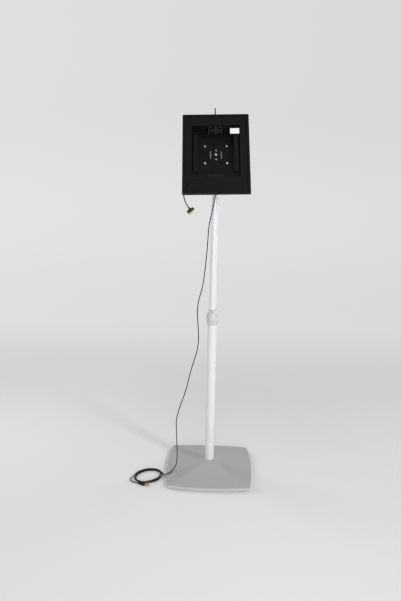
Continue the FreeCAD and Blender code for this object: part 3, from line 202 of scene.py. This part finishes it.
def metal(name, color, roughness, stretch=(1, 1, 1), spangle=0.0):
    """Bare or plated metal: drawn or turned lines, and crystals of zinc where it is plated."""
    made = Finish(name, Metallic=1.0)
    lines = made.noise(scale=900.0, detail=3.0, stretch=stretch)
    cloud = made.noise(scale=35.0, detail=4.0)
    tint = cloud
    if spangle:
        cells = made.node("ShaderNodeTexVoronoi", {"Vector": made.place, "Scale": 160.0}, out="Color")
        tint = cloud * (1 - spangle) + made.node("ShaderNodeSeparateColor", [cells]) * spangle
    return made.surface(
        Base_Color=made.blend(shade(color, 0.85), shade(color, 1.12), tint),
        Roughness=roughness + 0.12 * (lines - 0.5) + 0.1 * (cloud - 0.5),
        Normal=made.bump(lines, strength=0.12, depth=0.0001, edge=0.0003),
    )


def rubbery(name, color, roughness, grain=1500.0, level=0.4):
    """Rubber or soft vinyl: matt, with a faint bloom."""
    made = Finish(name, Specular_IOR_Level=level)
    fine = made.noise(grain, detail=2.0)
    bloom = made.noise(scale=60.0, detail=4.0).above(0.6, soft=0.15)
    return made.surface(
        Base_Color=made.blend(color, shade(color, 1.6), bloom * 0.5),
        Roughness=roughness + 0.1 * (fine - 0.5) + 0.08 * bloom,
        Normal=made.bump(fine, strength=0.2, depth=0.00008),
    )


def card(name, color):
    """Plain label stock, left blank."""
    made = Finish(name)
    fibre = made.noise(scale=1800.0, detail=4.0, stretch=(1, 3, 1))
    return made.surface(
        Base_Color=made.blend(shade(color, 0.97), color, fibre),
        Roughness=0.55 + 0.1 * (fibre - 0.5),
        Normal=made.bump(fibre, strength=0.15, depth=0.00005),
    )


FINISHES = {
    # The base paint is lightened below 11.5 mm: a painted highlight on its front rim.
    "base": powder_coat("base_paint", (0.4, 0.4, 0.41), 0.4, grain=1300.0, painted_highlight_below=0.0115),
    "tube": powder_coat("tube_paint", (0.68, 0.68, 0.705), 0.3, grain=1300.0),
    "collar": moulded("collar_plastic", (0.52, 0.52, 0.535), 0.24, grain=1800.0, depth=0.00004, level=0.55),
    "black_plastic": moulded("enclosure_plastic", (0.006, 0.006, 0.0061), 0.5, grain=2200.0, level=0.22),
    "black_steel": powder_coat("black_paint", (0.016, 0.016, 0.017), 0.42, grain=1500.0, edge=0.0004,
                               level=0.4),
    "zinc": metal("zinc_plate", (0.89, 0.89, 0.9), 0.6, spangle=0.5),
    "bright": metal("bright_plate", (0.9, 0.9, 0.91), 0.5),
    "steel": metal("machined_steel", (0.5, 0.5, 0.52), 0.3, stretch=(1, 1, 8)),
    "rubber": rubbery("rubber_black", (0.016, 0.016, 0.016), 0.75),
    "nylon": moulded("nylon_natural", (0.62, 0.6, 0.53), 0.45, grain=1200.0, depth=0.00005),
    "label": card("label_white", (0.9, 0.9, 0.895)),
    "cord": rubbery("cord_vinyl", (0.004, 0.004, 0.0042), 0.45, grain=2500.0, level=0.18),
    "contact": metal("contact_plate", (0.47, 0.37, 0.21), 0.62),
}
SLOT_OF = {entry["node"]: entry["material_slot"] for entry in frame["record"]["subparts"]}
BODY_OF = {
    node: body for body, nodes in frame["record"]["behaviour"]["bodies"].items() for node in nodes
}
for node, thing in frame["nodes"].items():
    thing.data.materials.clear()
    thing.data.materials.append(FINISHES[SLOT_OF[node]])


# Making pieces
def add_mesh(name, points, faces, slot, place=stand_frame, smooth=40):
    """A new piece from points in millimetres in a frame, smooth but for edges over an angle."""
    mesh = bpy.data.meshes.new(name)
    mesh.from_pydata([place @ (Vector(p) * MM) for p in points], [], faces)
    made = bmesh.new()
    made.from_mesh(mesh)
    bmesh.ops.remove_doubles(made, verts=made.verts, dist=1e-6)
    bmesh.ops.recalc_face_normals(made, faces=made.faces)
    made.to_mesh(mesh)
    made.free()
    mesh.materials.append(FINISHES[slot])
    piece = bpy.data.objects.new(name, mesh)
    bpy.context.scene.collection.objects.link(piece)
    mesh.shade_smooth()
    mesh.set_sharp_from_angle(angle=math.radians(smooth))
    return piece


def stand_for(piece, node):
    """Puts a piece in the place of a node, to move as it does."""
    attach(piece, BODY_OF[node])
    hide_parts(node)


def round_ring(radius, height, flats=0, sides=48):
    """A level ring of points; with flats it is a hexagon of that size across them."""
    ring = []
    for i in range(sides):
        angle = 2 * math.pi * i / sides
        reach = radius
        if flats:
            off = (angle + math.pi / 6) % (math.pi / 3) - math.pi / 6
            reach = min(radius, flats / 2 / math.cos(off))
        ring.append((reach * math.cos(angle), reach * math.sin(angle), height))
    return ring


def soft_ring(width, height, corner, at):
    """A rounded rectangle of points at a height."""
    ring = []
    steps = 4
    corner = min(corner, width / 2 - 0.01, height / 2 - 0.01)
    for sx, sy, start in ((1, 1, 0), (-1, 1, 90), (-1, -1, 180), (1, -1, 270)):
        for k in range(steps + 1):
            angle = math.radians(start + 90 * k / steps)
            x = sx * (width / 2 - corner) + corner * math.cos(angle)
            y = sy * (height / 2 - corner) + corner * math.sin(angle)
            ring.append((x, y, at))
    return ring


def soft_rings(outline, *heights):
    """Rounded rectangles of one width, height and corner, at several heights."""
    return [soft_ring(*outline, at) for at in heights]


def skin(rings, closed=False):
    """Faces over rings of equal count; the ends are capped, or joined where closed."""
    count = len(rings[0])
    points = [p for ring in rings for p in ring]
    faces = []
    pairs = list(zip(range(len(rings)), range(1, len(rings))))
    if closed:
        pairs.append((len(rings) - 1, 0))
    for a, b in pairs:
        for i in range(count):
            j = (i + 1) % count
            faces.append((a * count + i, a * count + j, b * count + j, b * count + i))
    if not closed:
        faces.append(tuple(range(count))[::-1])
        faces.append(tuple(range(len(points) - count, len(points))))
    return points, faces


def turned(rings, closed=False, sides=48):
    """A turned part from (radius, height) or (radius, height, flats across) rings."""
    return skin([round_ring(*ring, sides=sides) for ring in rings], closed)


def joined(parts):
    """Several (points, faces) as one."""
    points, faces = [], []
    for some_points, some_faces in parts:
        start = len(points)
        points += some_points
        faces += [tuple(i + start for i in face) for face in some_faces]
    return points, faces


def moved(part, at=(0, 0, 0), turn=None):
    """Points of a part turned by a matrix and shifted."""
    turn = turn or Matrix.Identity(3)
    return [tuple(turn @ Vector(p) + Vector(at)) for p in part[0]], part[1]


def at_corners(half):
    """The four corners of a square about the middle."""
    return [(sx * half, sy * half, 0) for sx in (-1, 1) for sy in (-1, 1)]


ALONG_X = Matrix.Rotation(math.pi / 2, 3, "Y")

# Cords: the control points of their routes, in metres
CORD_RADIUS = 0.00175
HANGING = [
    (0.003, -0.01705, 1.104), (0.003, -0.01705, 1.085), (0.001, -0.024, 1.063),
    (-0.004, -0.0285, 1.032), (-0.012, -0.032, 0.996), (-0.0195, -0.035, 0.958),
    (-0.022, -0.0356, 0.902), (-0.026, -0.036, 0.843), (-0.031, -0.0358, 0.788),
    (-0.038, -0.0357, 0.736), (-0.052, -0.0355, 0.69), (-0.0555, -0.0354, 0.642),
    (-0.0505, -0.0352, 0.588), (-0.048, -0.035, 0.535), (-0.0565, -0.0349, 0.484),
    (-0.073, -0.0348, 0.433), (-0.0845, -0.0347, 0.381), (-0.097, -0.0345, 0.328),
    (-0.116, -0.0344, 0.275), (-0.1295, -0.0342, 0.221), (-0.1275, -0.034, 0.171),
    (-0.1262, -0.0332, 0.121), (-0.1236, -0.0318, 0.08),
]
# From there the cord rests on the base, drops over its rim and turns into the coil.
RESTING = [
    (-0.1254, -0.0312, 0.05), (-0.1276, -0.0342, 0.034), (-0.1322, -0.043, 0.0245),
    (-0.1385, -0.054, 0.0204), (-0.146, -0.0656, 0.0186), (-0.1542, -0.0773, 0.0179),
    (-0.1586, -0.07965, 0.0175), (-0.1632, -0.08, 0.0166), (-0.1675, -0.0784, 0.0142),
    (-0.171, -0.0751, 0.0112), (-0.172, -0.0697, 0.0079), (-0.1732, -0.0628, 0.0049),
    (-0.1756, -0.0556, 0.0027), (-0.1791, -0.0489, 0.0019),
]
COIL_START = [RESTING[-1], (-0.1811, -0.0444, 0.00178), (-0.1838, -0.0392, 0.00178)]
COIL_END = [
    (-0.2845, -0.0765, 0.006), (-0.2875, -0.087, 0.006), (-0.2923, -0.0962, 0.0055),
    (-0.2956, -0.1045, 0.005), (-0.295, -0.1115, 0.0048), (-0.2905, -0.117, 0.0045),
    (-0.2825, -0.1202, 0.0042), (-0.2725, -0.1244, 0.004), (-0.2625, -0.1281, 0.00375),
    (-0.2535, -0.1297, 0.00375),
]
# The tail leaves the recess and crosses the front, in the enclosure's own frame, then hangs free.
TAIL = [
    (-0.016, -0.0839, -0.0102), (-0.016, -0.08329, -0.00655), (-0.01756, -0.08274, -0.00324),
    (-0.0204, -0.08235, -0.0009), (-0.0263, -0.0829, 0.0013), (-0.037, -0.0866, 0.0002),
    (-0.049, -0.0902, -0.0009), (-0.064, -0.0914, -0.001), (-0.079, -0.0956, -0.0011),
    (-0.089, -0.1062, -0.0011), (-0.0955, -0.1227, -0.001), (-0.101, -0.137, 0.0011),
    (-0.1045, -0.1465, 0.0028), (-0.1066, -0.1528, 0.0027), (-0.1079, -0.157, 0.0006),
    (-0.1072, -0.1635, -0.0034),
]
TAIL_END = [
    (-0.0974, -0.1372, 1.0506), (-0.0918, -0.137, 1.0402), (-0.08634, -0.136, 1.032417),
    (-0.0817, -0.136, 1.0259),
]
# The slack behind the enclosure goes through its floor, to a clip's eye and over the tilt joint.
SLOT_X = -0.016
SLOT_Y = (-0.0835 - FLOOR_SHIFT) / math.cos(RAKE)
THROUGH_FLOOR = [(SLOT_X, SLOT_Y, -0.0025), (SLOT_X, SLOT_Y, -0.012)]
EYE = (-0.007, -0.03615, 0.0194)
TO_EYE = [
    (-0.017, -0.086, 0.0125), (-0.021, -0.073, 0.0065), (-0.026, -0.059, 0.007),
    (-0.0265, -0.047, 0.013), (-0.0205, EYE[1] - 0.0026, 0.0188), (-0.0135, EYE[1], EYE[2]), EYE,
]
FROM_EYE = [EYE, (0.0015, EYE[1], EYE[2])]
OVER_HINGE = [
    (0.0075, -0.041, 1.158), (0.0085, -0.0375, 1.147), (0.0065, -0.0285, 1.1345),
    (0.0036, -0.0205, 1.122), (0.003, -0.01705, 1.1125), (0.003, -0.01705, 1.104),
]


def placed(place, points):
    return [tuple(place @ Vector(p)) for p in points]


def coil_points():
    """Control points of the coil: sixteen to a turn, in on the floor and out again on top."""
    half_length, half_width, draw = 0.057, 0.0483, 1.0194
    step, side_step, lift = 0.0049, 0.0065, 0.0042
    quarters_on_floor, quarters_both_ways, last_sixteenth = 6, 14, 54
    middle = Vector((-0.2296, -0.0733, CORD_RADIUS + 0.00003))
    drift = Vector((-0.0009, -0.00065, 0))
    lean = Matrix.Rotation(math.radians(36), 3, "Z")
    path = []
    for sixteenth in range(1, last_sixteenth + 1):
        quarter = sixteenth / 4
        inward = min(quarter, quarters_both_ways - quarter) / 4
        climb = min(max(quarter - quarters_on_floor, 0), 1)
        climb = climb * climb * (3 - 2 * climb)
        centre = middle + drift * inward
        centre += Vector((-0.0006 + 0.0004 * math.sin(quarter), -0.0004, lift)) * climb
        angle = math.pi / 2 * quarter
        x = (half_length - step * inward) * math.cos(angle)
        y = (half_width - side_step * inward) * math.sin(angle)
        path.append(tuple(centre + lean @ Vector((x, y, 0)) * draw))
    return path


def route_points(path, steps=6):
    """Points along the smooth spline that has these control points."""
    curve = bpy.data.curves.new("route", "CURVE")
    curve.dimensions = "3D"
    curve.resolution_u = steps
    line = curve.splines.new("NURBS")
    line.points.add(len(path) - 1)
    for point, place in zip(line.points, path):
        point.co = (*place, 1)
    line.order_u = 3
    line.use_endpoint_u = True
    holder = bpy.data.objects.new("route", curve)
    bpy.context.scene.collection.objects.link(holder)
    graph = bpy.context.evaluated_depsgraph_get()
    mesh = bpy.data.meshes.new_from_object(holder.evaluated_get(graph))
    points = [v.co.copy() for v in mesh.vertices]
    bpy.data.objects.remove(holder)
    bpy.data.meshes.remove(mesh)
    return points


def sweep(path, radius, sides=12):
    """Rings in millimetres that follow a path in metres without twisting."""
    rings = []
    tangent = (path[1] - path[0]).normalized()
    side = tangent.orthogonal().normalized()
    for i, centre in enumerate(path):
        ahead = (path[min(i + 1, len(path) - 1)] - path[max(i - 1, 0)]).normalized()
        side = (side - ahead * side.dot(ahead)).normalized()
        up = ahead.cross(side)
        ring = []
        for k in range(sides):
            angle = 2 * math.pi * k / sides
            ring.append((centre + (side * math.cos(angle) + up * math.sin(angle)) * radius) / MM)
        rings.append(ring)
    return rings


def make_cord(path, *nodes, **facts):
    """A cord along a spline, as a tube of even thickness."""
    line = route_points(path)
    piece = add_mesh(nodes[0] + "_line", *skin(sweep(line, CORD_RADIUS)), "cord", smooth=80)
    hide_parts(*nodes)
    return piece


# Plugs, in millimetres with z along the cord
def aimed(at, across, along):
    """A frame whose z axis points along a direction, x across it."""
    z = Vector(along).normalized()
    x = (Vector(across) - z * Vector(across).dot(z)).normalized()
    turn = Matrix((x, z.cross(x), z)).transposed().to_4x4()
    return Matrix.Translation(at) @ turn


def make_usb_plug():
    """The computer plug: a ribbed relief, a grooved body, and a shell with a tongue and windows."""
    place = aimed(COIL_END[-1], across=(0.174, 0.985, 0), along=(0.985, -0.174, 0))
    grip, groove = (15.5, 7.5, 2.4), (14.8, 7.0, 2.2)
    body = [soft_ring(4.2, 4.2, 2.1, -9)]
    for rib in range(4):
        at = -8 + 2 * rib
        waist = 4.6 + 0.5 * rib
        crest = waist + 0.7
        body += soft_rings((crest, min(crest, 5.6), 2.2), at, at + 1)
        body += soft_rings((waist, min(waist, 5), 2.1), at + 1.15, at + 1.85)
    body += [soft_ring(11, 6.2, 2.6, 0.4), soft_ring(14.6, 7.2, 2.6, 2.2), soft_ring(*grip, 4)]
    for row in range(4):
        at = 5.6 + 2.2 * row
        body += soft_rings(grip, at) + soft_rings(groove, at + 0.35, at + 0.95)
        body += soft_rings(grip, at + 1.3)
    body += [soft_ring(*grip, 17.2), soft_ring(14.9, 6.9, 2.1, 18)]
    plug = add_mesh("usb_body", *skin(body), "black_plastic", place, 35)
    stand_for(plug, "usb_plug")

    shell = soft_rings((12, 4.5, 0.5), 17.5, 31.8) + soft_rings((11.8, 4.3, 0.5), 32)
    shell += soft_rings((11.4, 3.9, 0.4), 31.9, 19)
    tip = add_mesh("usb_tip", *skin(shell), "contact", place, 35)
    stand_for(tip, "usb_shell")

    tongue = skin(soft_rings((11.3, 1.9, 0.2), 19, 30.6) + soft_rings((11.0, 1.5, 0.2), 31))
    tongue = add_mesh("usb_tongue", *moved(tongue, (0, -0.95, 0)), "nylon", place, 35)
    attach(tongue, "stand")

    window = skin(soft_rings((2.3, 2.2, 0.2), 0, 0.12))
    windows = []
    for sx in (-1, 1):
        for sy in (-1, 1):
            outward = Matrix.Rotation(-sy * math.pi / 2, 3, "X")
            windows.append(moved(window, (sx * 2.9, sy * 2.28, 26.5), outward))
    holes = add_mesh("usb_windows", *joined(windows), "black_plastic", place, 35)
    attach(holes, "stand")
    return [plug, tip, tongue, holes]


def make_dock_plug():
    """The tablet plug: a ribbed relief, a wide flat body and a hollow tip."""
    across = Vector((18.4, 0, 13.1))
    place = aimed(TAIL_END[-1], across, along=Vector((0, 1, 0)).cross(across))
    body = [soft_ring(4.2, 3.9, 1.9, -7)]
    for rib in range(3):
        at = -6.4 + 2 * rib
        body += soft_rings((5 + rib, 4.3, 2), at, at + 1)
        body += soft_rings((4.4 + rib, 3.9, 1.9), at + 1.1, at + 1.9)
    body += [soft_ring(13, 4.9, 2, 0), soft_ring(23.5, 5.3, 2.2, 1.1), soft_ring(26.2, 5.5, 2.3, 3)]
    body += soft_rings((26.5, 5.5, 2.3), 5, 9.4) + soft_rings((25.9, 4.9, 2), 10)
    plug = add_mesh("dock_body", *skin(body), "black_plastic", place, 35)
    stand_for(plug, "dock_plug")

    shell = soft_rings((21.5, 2.4, 0.8), 9.6, 14.9) + soft_rings((21.3, 2.2, 0.7), 15)
    shell += soft_rings((20.9, 1.8, 0.6), 14.9, 11.5)
    tip = add_mesh("dock_shell", *skin(shell), "contact", place, 35)
    stand_for(tip, "dock_tip")
    return [plug, tip]


def make_cords():
    """The lengths of the cord, and what each moves with."""
    tail_path = placed(head_frame, TAIL) + TAIL_END
    swivel_path = placed(floor_frame, THROUGH_FLOOR) + placed(tilt_frame, TO_EYE)
    tilt_path = placed(tilt_frame, FROM_EYE) + OVER_HINGE
    usb_pieces = make_usb_plug()
    dock_pieces = make_dock_plug()

    tail = make_cord(tail_path, "cord_tail", far_end="connector", lay="loose", with_pieces=dock_pieces)
    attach(tail, "head")
    swivel = make_cord(swivel_path, "cord_swivel", far_end="object", lay="loose")
    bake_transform(swivel)
    slack = make_cord(tilt_path, "cord_tilt", far_end="object", lay="loose")
    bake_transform(slack)
    run = make_cord(HANGING + RESTING, "cord_run", "cord_rest", far_end="object", lay="hanging")
    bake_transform(run)
    coil = make_cord(COIL_START + coil_points() + COIL_END, "cord_coil", far_end="plug", lay="coiled",
                     with_pieces=usb_pieces)
    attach(coil, "stand")


# Fasteners, collar, feet and key, in millimetres in their own frames
def pan_screw(shank, low, head, tall, flats, sink):
    """A screw with a domed head and a six-sided socket, its head's underside at 0."""
    return turned([
        (shank * 0.75, low), (shank, low + 0.5), (shank, 0),
        (head, 0), (head, tall * 0.55), (head * 0.96, tall * 0.8), (head * 0.87, tall * 0.94),
        (head * 0.74, tall), (head, tall, flats * 1.12), (head, tall - 0.15, flats),
        (head, tall - sink, flats), (flats * 0.25, tall - sink - 0.2),
    ], sides=36)


def hex_block(flats, tall, bore=0.0):
    """A bolt's head or a nut: six-sided, its corners turned down at both ends."""
    corner = flats / 2 / math.cos(math.pi / 6)
    trim = flats / 2 * 0.95
    rings = [(trim, 0, flats), (corner, 0.6, flats), (corner, tall - 0.8, flats), (trim, tall, flats)]
    if bore:
        rings += [(bore + 0.4, tall), (bore, tall - 0.4), (bore, 0.4), (bore + 0.4, 0)]
    return turned(rings, closed=bool(bore))


def washer(outer, inner, tall):
    ease = 0.2
    return turned([
        (outer - ease, 0), (outer, ease), (outer, tall - ease), (outer - ease, tall),
        (inner, tall), (inner, 0),
    ], closed=True)


def make_swivel_fasteners():
    """The screws, bolt and pins in the floor of the recess, and the nut and washer behind it."""
    pattern_half, stop_circle = 37.5, 19.7
    washer_z, nut_z = -16.55, -21.55
    screw = pan_screw(shank=2, low=-8, head=4, tall=2.2, flats=2.5, sink=1.2)
    screws = joined([moved(screw, at) for at in at_corners(pattern_half)])
    stand_for(add_mesh("mount_screw_set", *screws, "bright", floor_frame, 30), "mount_screws")
    bolt = pan_screw(shank=2.5, low=-22.55, head=4.5, tall=2, flats=4, sink=1.3)
    stand_for(add_mesh("swivel_bolt", *bolt, "bright", floor_frame, 30), "pivot_bolt")
    pin = turned([
        (1.9, -12.5), (2.2, -12.2), (2.2, 0), (2.8, 0), (2.75, 0.22), (2.35, 0.45), (1.4, 0.6),
    ], sides=32)
    pins = joined([moved(pin, (0, stop_circle, 0)), moved(pin, (0, -stop_circle, 0))])
    stand_for(add_mesh("swivel_pins", *pins, "bright", floor_frame, 30), "stop_pins")
    nut = moved(hex_block(8, 5, bore=2.5), (0, 0, nut_z))
    stand_for(add_mesh("swivel_nut", *nut, "zinc", floor_frame, 25), "pivot_nut")
    flat = moved(washer(6.5, 2.5, 2), (0, 0, washer_z))
    stand_for(add_mesh("swivel_washer", *flat, "steel", floor_frame, 25), "pivot_washers")


def make_hinge_fasteners():
    """The level bolt of the tilt joint, with its nut and washers."""
    half, head_tall, washer_tall = 16.5, 5.3, 1.5
    head = moved(hex_block(13, head_tall), (-half - head_tall, 0, 0), ALONG_X)
    shank = moved(turned([(4, 0), (4, 40.6), (3.4, 41.5)]), (-half, 0, 0), ALONG_X)
    stand_for(add_mesh("hinge_bolt", *joined([head, shank]), "zinc", tilt_frame, 25), "tilt_bolt")
    nut = moved(hex_block(13, 6.5, bore=4), (half, 0, 0), ALONG_X)
    stand_for(add_mesh("hinge_nut", *nut, "zinc", tilt_frame, 25), "tilt_nut")
    flat = washer(8.06, 4, washer_tall)
    flats = joined([moved(flat, (x, 0, 0), ALONG_X) for x in (-half, half - washer_tall)])
    stand_for(add_mesh("hinge_washers", *flats, "zinc", tilt_frame, 25), "tilt_washers")


def make_collar():
    """The collar's fixed body and its nut, with eased edges and a rounded shoulder."""
    body = turned([
        (17.5, 593), (18.85, 593), (19.2, 593.35), (20.1, 597.3), (21.1, 601.8), (21.8, 605.5),
        (22.25, 608.6), (22.35, 609.5), (22.05, 610), (19, 610), (19, 628), (15.7, 628), (15.7, 604),
        (17.5, 604),
    ], closed=True, sides=72)
    stand_for(add_mesh("collar_base", *body, "collar"), "collar_body")
    nut = turned([
        (19.06, 610.3), (22.2, 610.3), (22.65, 610.7), (22.95, 613.3), (23, 620), (23, 629),
        (22.95, 631.8), (22.75, 634.2), (22.3, 636.2), (21.6, 638), (20.7, 639.8), (15.6, 649.9),
        (15.1, 650.8), (14.5, 651.3), (13.9, 651.3), (13.9, 636.5), (14.8, 636.5), (16, 628.5),
        (19.06, 628.5),
    ], closed=True, sides=72)
    stand_for(add_mesh("collar_wheel", *nut, "collar"), "collar_nut")


def make_feet():
    """Four rubber pads, each with an eased edge and a shallow ring moulded in its sole."""
    centre = 126.5
    pad = turned([
        (4, 0.35), (4.4, 0), (7.5, 0), (7.9, 0.35), (10, 0.35), (10.4, 0), (12.4, 0), (12.9, 0.4),
        (13, 1.2), (12.8, 2),
    ])
    pads = joined([moved(pad, at) for at in at_corners(centre)])
    stand_for(add_mesh("foot_pads", *pads, "rubber", smooth=35), "base_feet")


def make_key():
    """The key: a blade with cuts, a shoulder and a round bow with an eye."""
    across, depth = -1, -19
    blade_foot, half_thick, half_wide = 132.5, 1.1, 3.5
    cuts = [
        (0, 1.6), (1.5, 0.2), (3.2, 0.2), (4.6, 1.7), (5.6, 1.7), (7.4, 0.6), (9, 0.6), (10.6, 2.1),
        (11.6, 2.1), (13.8, 0.3), (15.6, 0.3), (17.2, 1.4), (18.2, 1.4), (20, 0), (24.6, 0),
    ]
    shape = []
    for y, cut in cuts:
        x = half_thick if y else 0.8
        y += blade_foot
        low = cut - half_wide
        shape.append([(-x, y, low), (x, y, low), (x, y, half_wide), (-x, y, half_wide)])
    for y, wide in ((157.1, half_wide), (157.6, half_wide), (166.5, half_wide), (170, 4.5)):
        x = half_thick
        shape.append([(-x, y, -wide), (x, y, -wide), (x, y, wide), (-x, y, wide)])

    bow_y, eye_above, face, sides = 178.5, 5.5, 1.95, 40
    edge = [(0.95, 12), (1.6, 11.7), (face, 11)]
    eye = [(face, 3.6), (1.55, 3.05), (-1.55, 3.05), (-face, 3.6)]
    bow = [(x, reach, bow_y) for x, reach in edge]
    bow += [(x, reach, bow_y + eye_above) for x, reach in eye]
    bow += [(-x, reach, bow_y) for x, reach in edge[::-1]]
    angles = [2 * math.pi * i / sides for i in range(sides)]
    rings = []
    for x, reach, middle in bow:
        rings.append([(x, middle + reach * math.sin(a), reach * math.cos(a)) for a in angles])
    form = moved(joined([skin(shape), skin(rings, closed=True)]), (across, 0, depth))
    stand_for(add_mesh("lock_key", *form, "black_steel", head_frame, 30), "key")


# Studio
def studio_paper():
    """Pale paper with painted shade: lit by the lamps near the stand, and far from it seen glowing at a set
    tone.
    """
    made = Finish("floor_paper")
    tree = made.tree
    grain = made.noise(scale=300.0)
    x, y, z = made.axes()
    behind = y.above(0.45, soft=0.4)
    # The paper's colour holds painted shade: darker towards +x, and darker still in a band behind the
    # stand.
    white = 0.81 - 0.06 * x + 0.02 * grain - (0.06 - 0.035 * x) * behind
    made.surface(
        Base_Color=made.node("ShaderNodeCombineColor", [white, white, white]),
        Roughness=0.9 + 0.02 * grain,
        Specular_IOR_Level=0.1,
    )

    # The set tone is a glow with painted shade and light: darkest behind the stand, palest at half height
    # and a little darker at the top.
    painted_shade_band = behind * (1 - (y + z).above(1.6, soft=0.55))
    tone = 0.715 - 0.012 * x + 0.008 * z.math("MINIMUM", z, 2.0) - 0.075 * painted_shade_band
    tone = tone + 0.027 * z.above(0.25, soft=0.25) - 0.045 * z.above(1.2, soft=0.5)
    paper = made.node("ShaderNodeCombineColor", [tone, tone, tone * 1.004])
    glow = tree.nodes.new("ShaderNodeEmission")
    made.feed(glow, {"Color": paper, "Strength": 1.0})

    rays = tree.nodes.new("ShaderNodeLightPath")
    seen = Value(made, rays.outputs["Is Camera Ray"])
    for kind in ("Is Glossy Ray", "Is Transmission Ray"):
        seen = seen.math("MAXIMUM", seen, Value(made, rays.outputs[kind]))
    reach = made.node("ShaderNodeVectorMath", [made.place], out="Value", operation="LENGTH")
    mix = tree.nodes.new("ShaderNodeMixShader")
    made.feed(mix, {0: seen * reach.above(0.95, soft=0.5)})
    tree.links.new(made.shader.outputs[0], mix.inputs[1])
    tree.links.new(glow.outputs[0], mix.inputs[2])
    tree.links.new(mix.outputs[0], tree.nodes["Material Output"].inputs["Surface"])
    return made.material


def make_sweep():
    """A floor that rises into a backdrop."""
    front, back, radius, top, steps = -4.0, 2.2, 1.6, 7.0, 16
    profile = [(front, 0.0), (back, 0.0)]
    for k in range(1, steps + 1):
        angle = math.pi / 2 * k / steps
        profile.append((back + radius * math.sin(angle), radius - radius * math.cos(angle)))
    profile.append((back + radius, top))
    made = bmesh.new()
    rows = [[made.verts.new((x, y, z)) for x in (-7, -2, 0, 2, 7)] for y, z in profile]
    for low, high in zip(rows, rows[1:]):
        for i in range(len(low) - 1):
            made.faces.new((low[i], low[i + 1], high[i + 1], high[i]))
    mesh = bpy.data.meshes.new("studio_floor")
    made.to_mesh(mesh)
    made.free()
    mesh.shade_smooth()
    mesh.materials.append(studio_paper())
    floor = bpy.data.objects.new("studio_floor", mesh)
    bpy.context.scene.collection.objects.link(floor)


def make_lamp(name, at, aim, size, power):
    light = bpy.data.lights.new(name, "AREA")
    light.shape = "RECTANGLE"
    light.size, light.size_y = size
    light.energy = power
    holder = bpy.data.objects.new(name, light)
    holder.location = at
    holder.rotation_euler = (Vector(aim) - Vector(at)).to_track_quat("-Z", "Y").to_euler()
    bpy.context.scene.collection.objects.link(holder)


def make_lights():
    """A dim even sky, and four soft lamps."""
    world = bpy.context.scene.world or bpy.data.worlds.new("studio")
    bpy.context.scene.world = world
    world.use_nodes = True
    sky = world.node_tree.nodes["Background"].inputs
    sky["Color"].default_value = (0.72, 0.72, 0.722, 1)
    sky["Strength"].default_value = 0.36
    make_lamp("front_box", at=(0.4, -3.0, 0.95), aim=(0, 0, 0.8), size=(1.8, 1.2), power=54)
    make_lamp("right_strip", at=(1.95, -1.85, 1.95), aim=(0, 0, 0.7), size=(0.4, 1.1), power=31)
    make_lamp("back_right", at=(2.3, 1.5, 1.5), aim=(0, 0, 0.3), size=(1.2, 1.6), power=22)
    make_lamp("back_left", at=(-2.3, 1.3, 1.5), aim=(0, 0, 0.3), size=(1.2, 1.6), power=34)


def make_camera():
    """The photo's camera: its place, its direction and its focal length in the picture's pixels."""
    place = (0.026, -2.0664, 1.1877)
    yaw, pitch, roll = (math.radians(a) for a in (-1.975, 13.737, 0.967))
    focal_pixels, picture_width = 580, 401
    ahead = Vector((math.sin(yaw) * math.cos(pitch), math.cos(yaw) * math.cos(pitch), -math.sin(pitch)))
    level = Vector((math.cos(yaw), -math.sin(yaw), 0))
    upright = level.cross(ahead)
    right = math.cos(roll) * level + math.sin(roll) * upright
    up = math.cos(roll) * upright - math.sin(roll) * level
    camera = bpy.data.cameras.new("camera")
    camera.sensor_fit = "HORIZONTAL"
    camera.sensor_width = 36.0
    camera.lens = camera.sensor_width * focal_pixels / picture_width
    holder = bpy.data.objects.new("camera", camera)
    turn = Matrix((right, up, -ahead)).transposed().to_4x4()
    holder.matrix_world = Matrix.Translation(place) @ turn
    bpy.context.scene.collection.objects.link(holder)
    bpy.context.scene.camera = holder
    bpy.context.scene.view_settings.view_transform = "Standard"


make_cords()
make_swivel_fasteners()
make_hinge_fasteners()
make_collar()
make_feet()
make_key()
make_sweep()
make_lights()
make_camera()
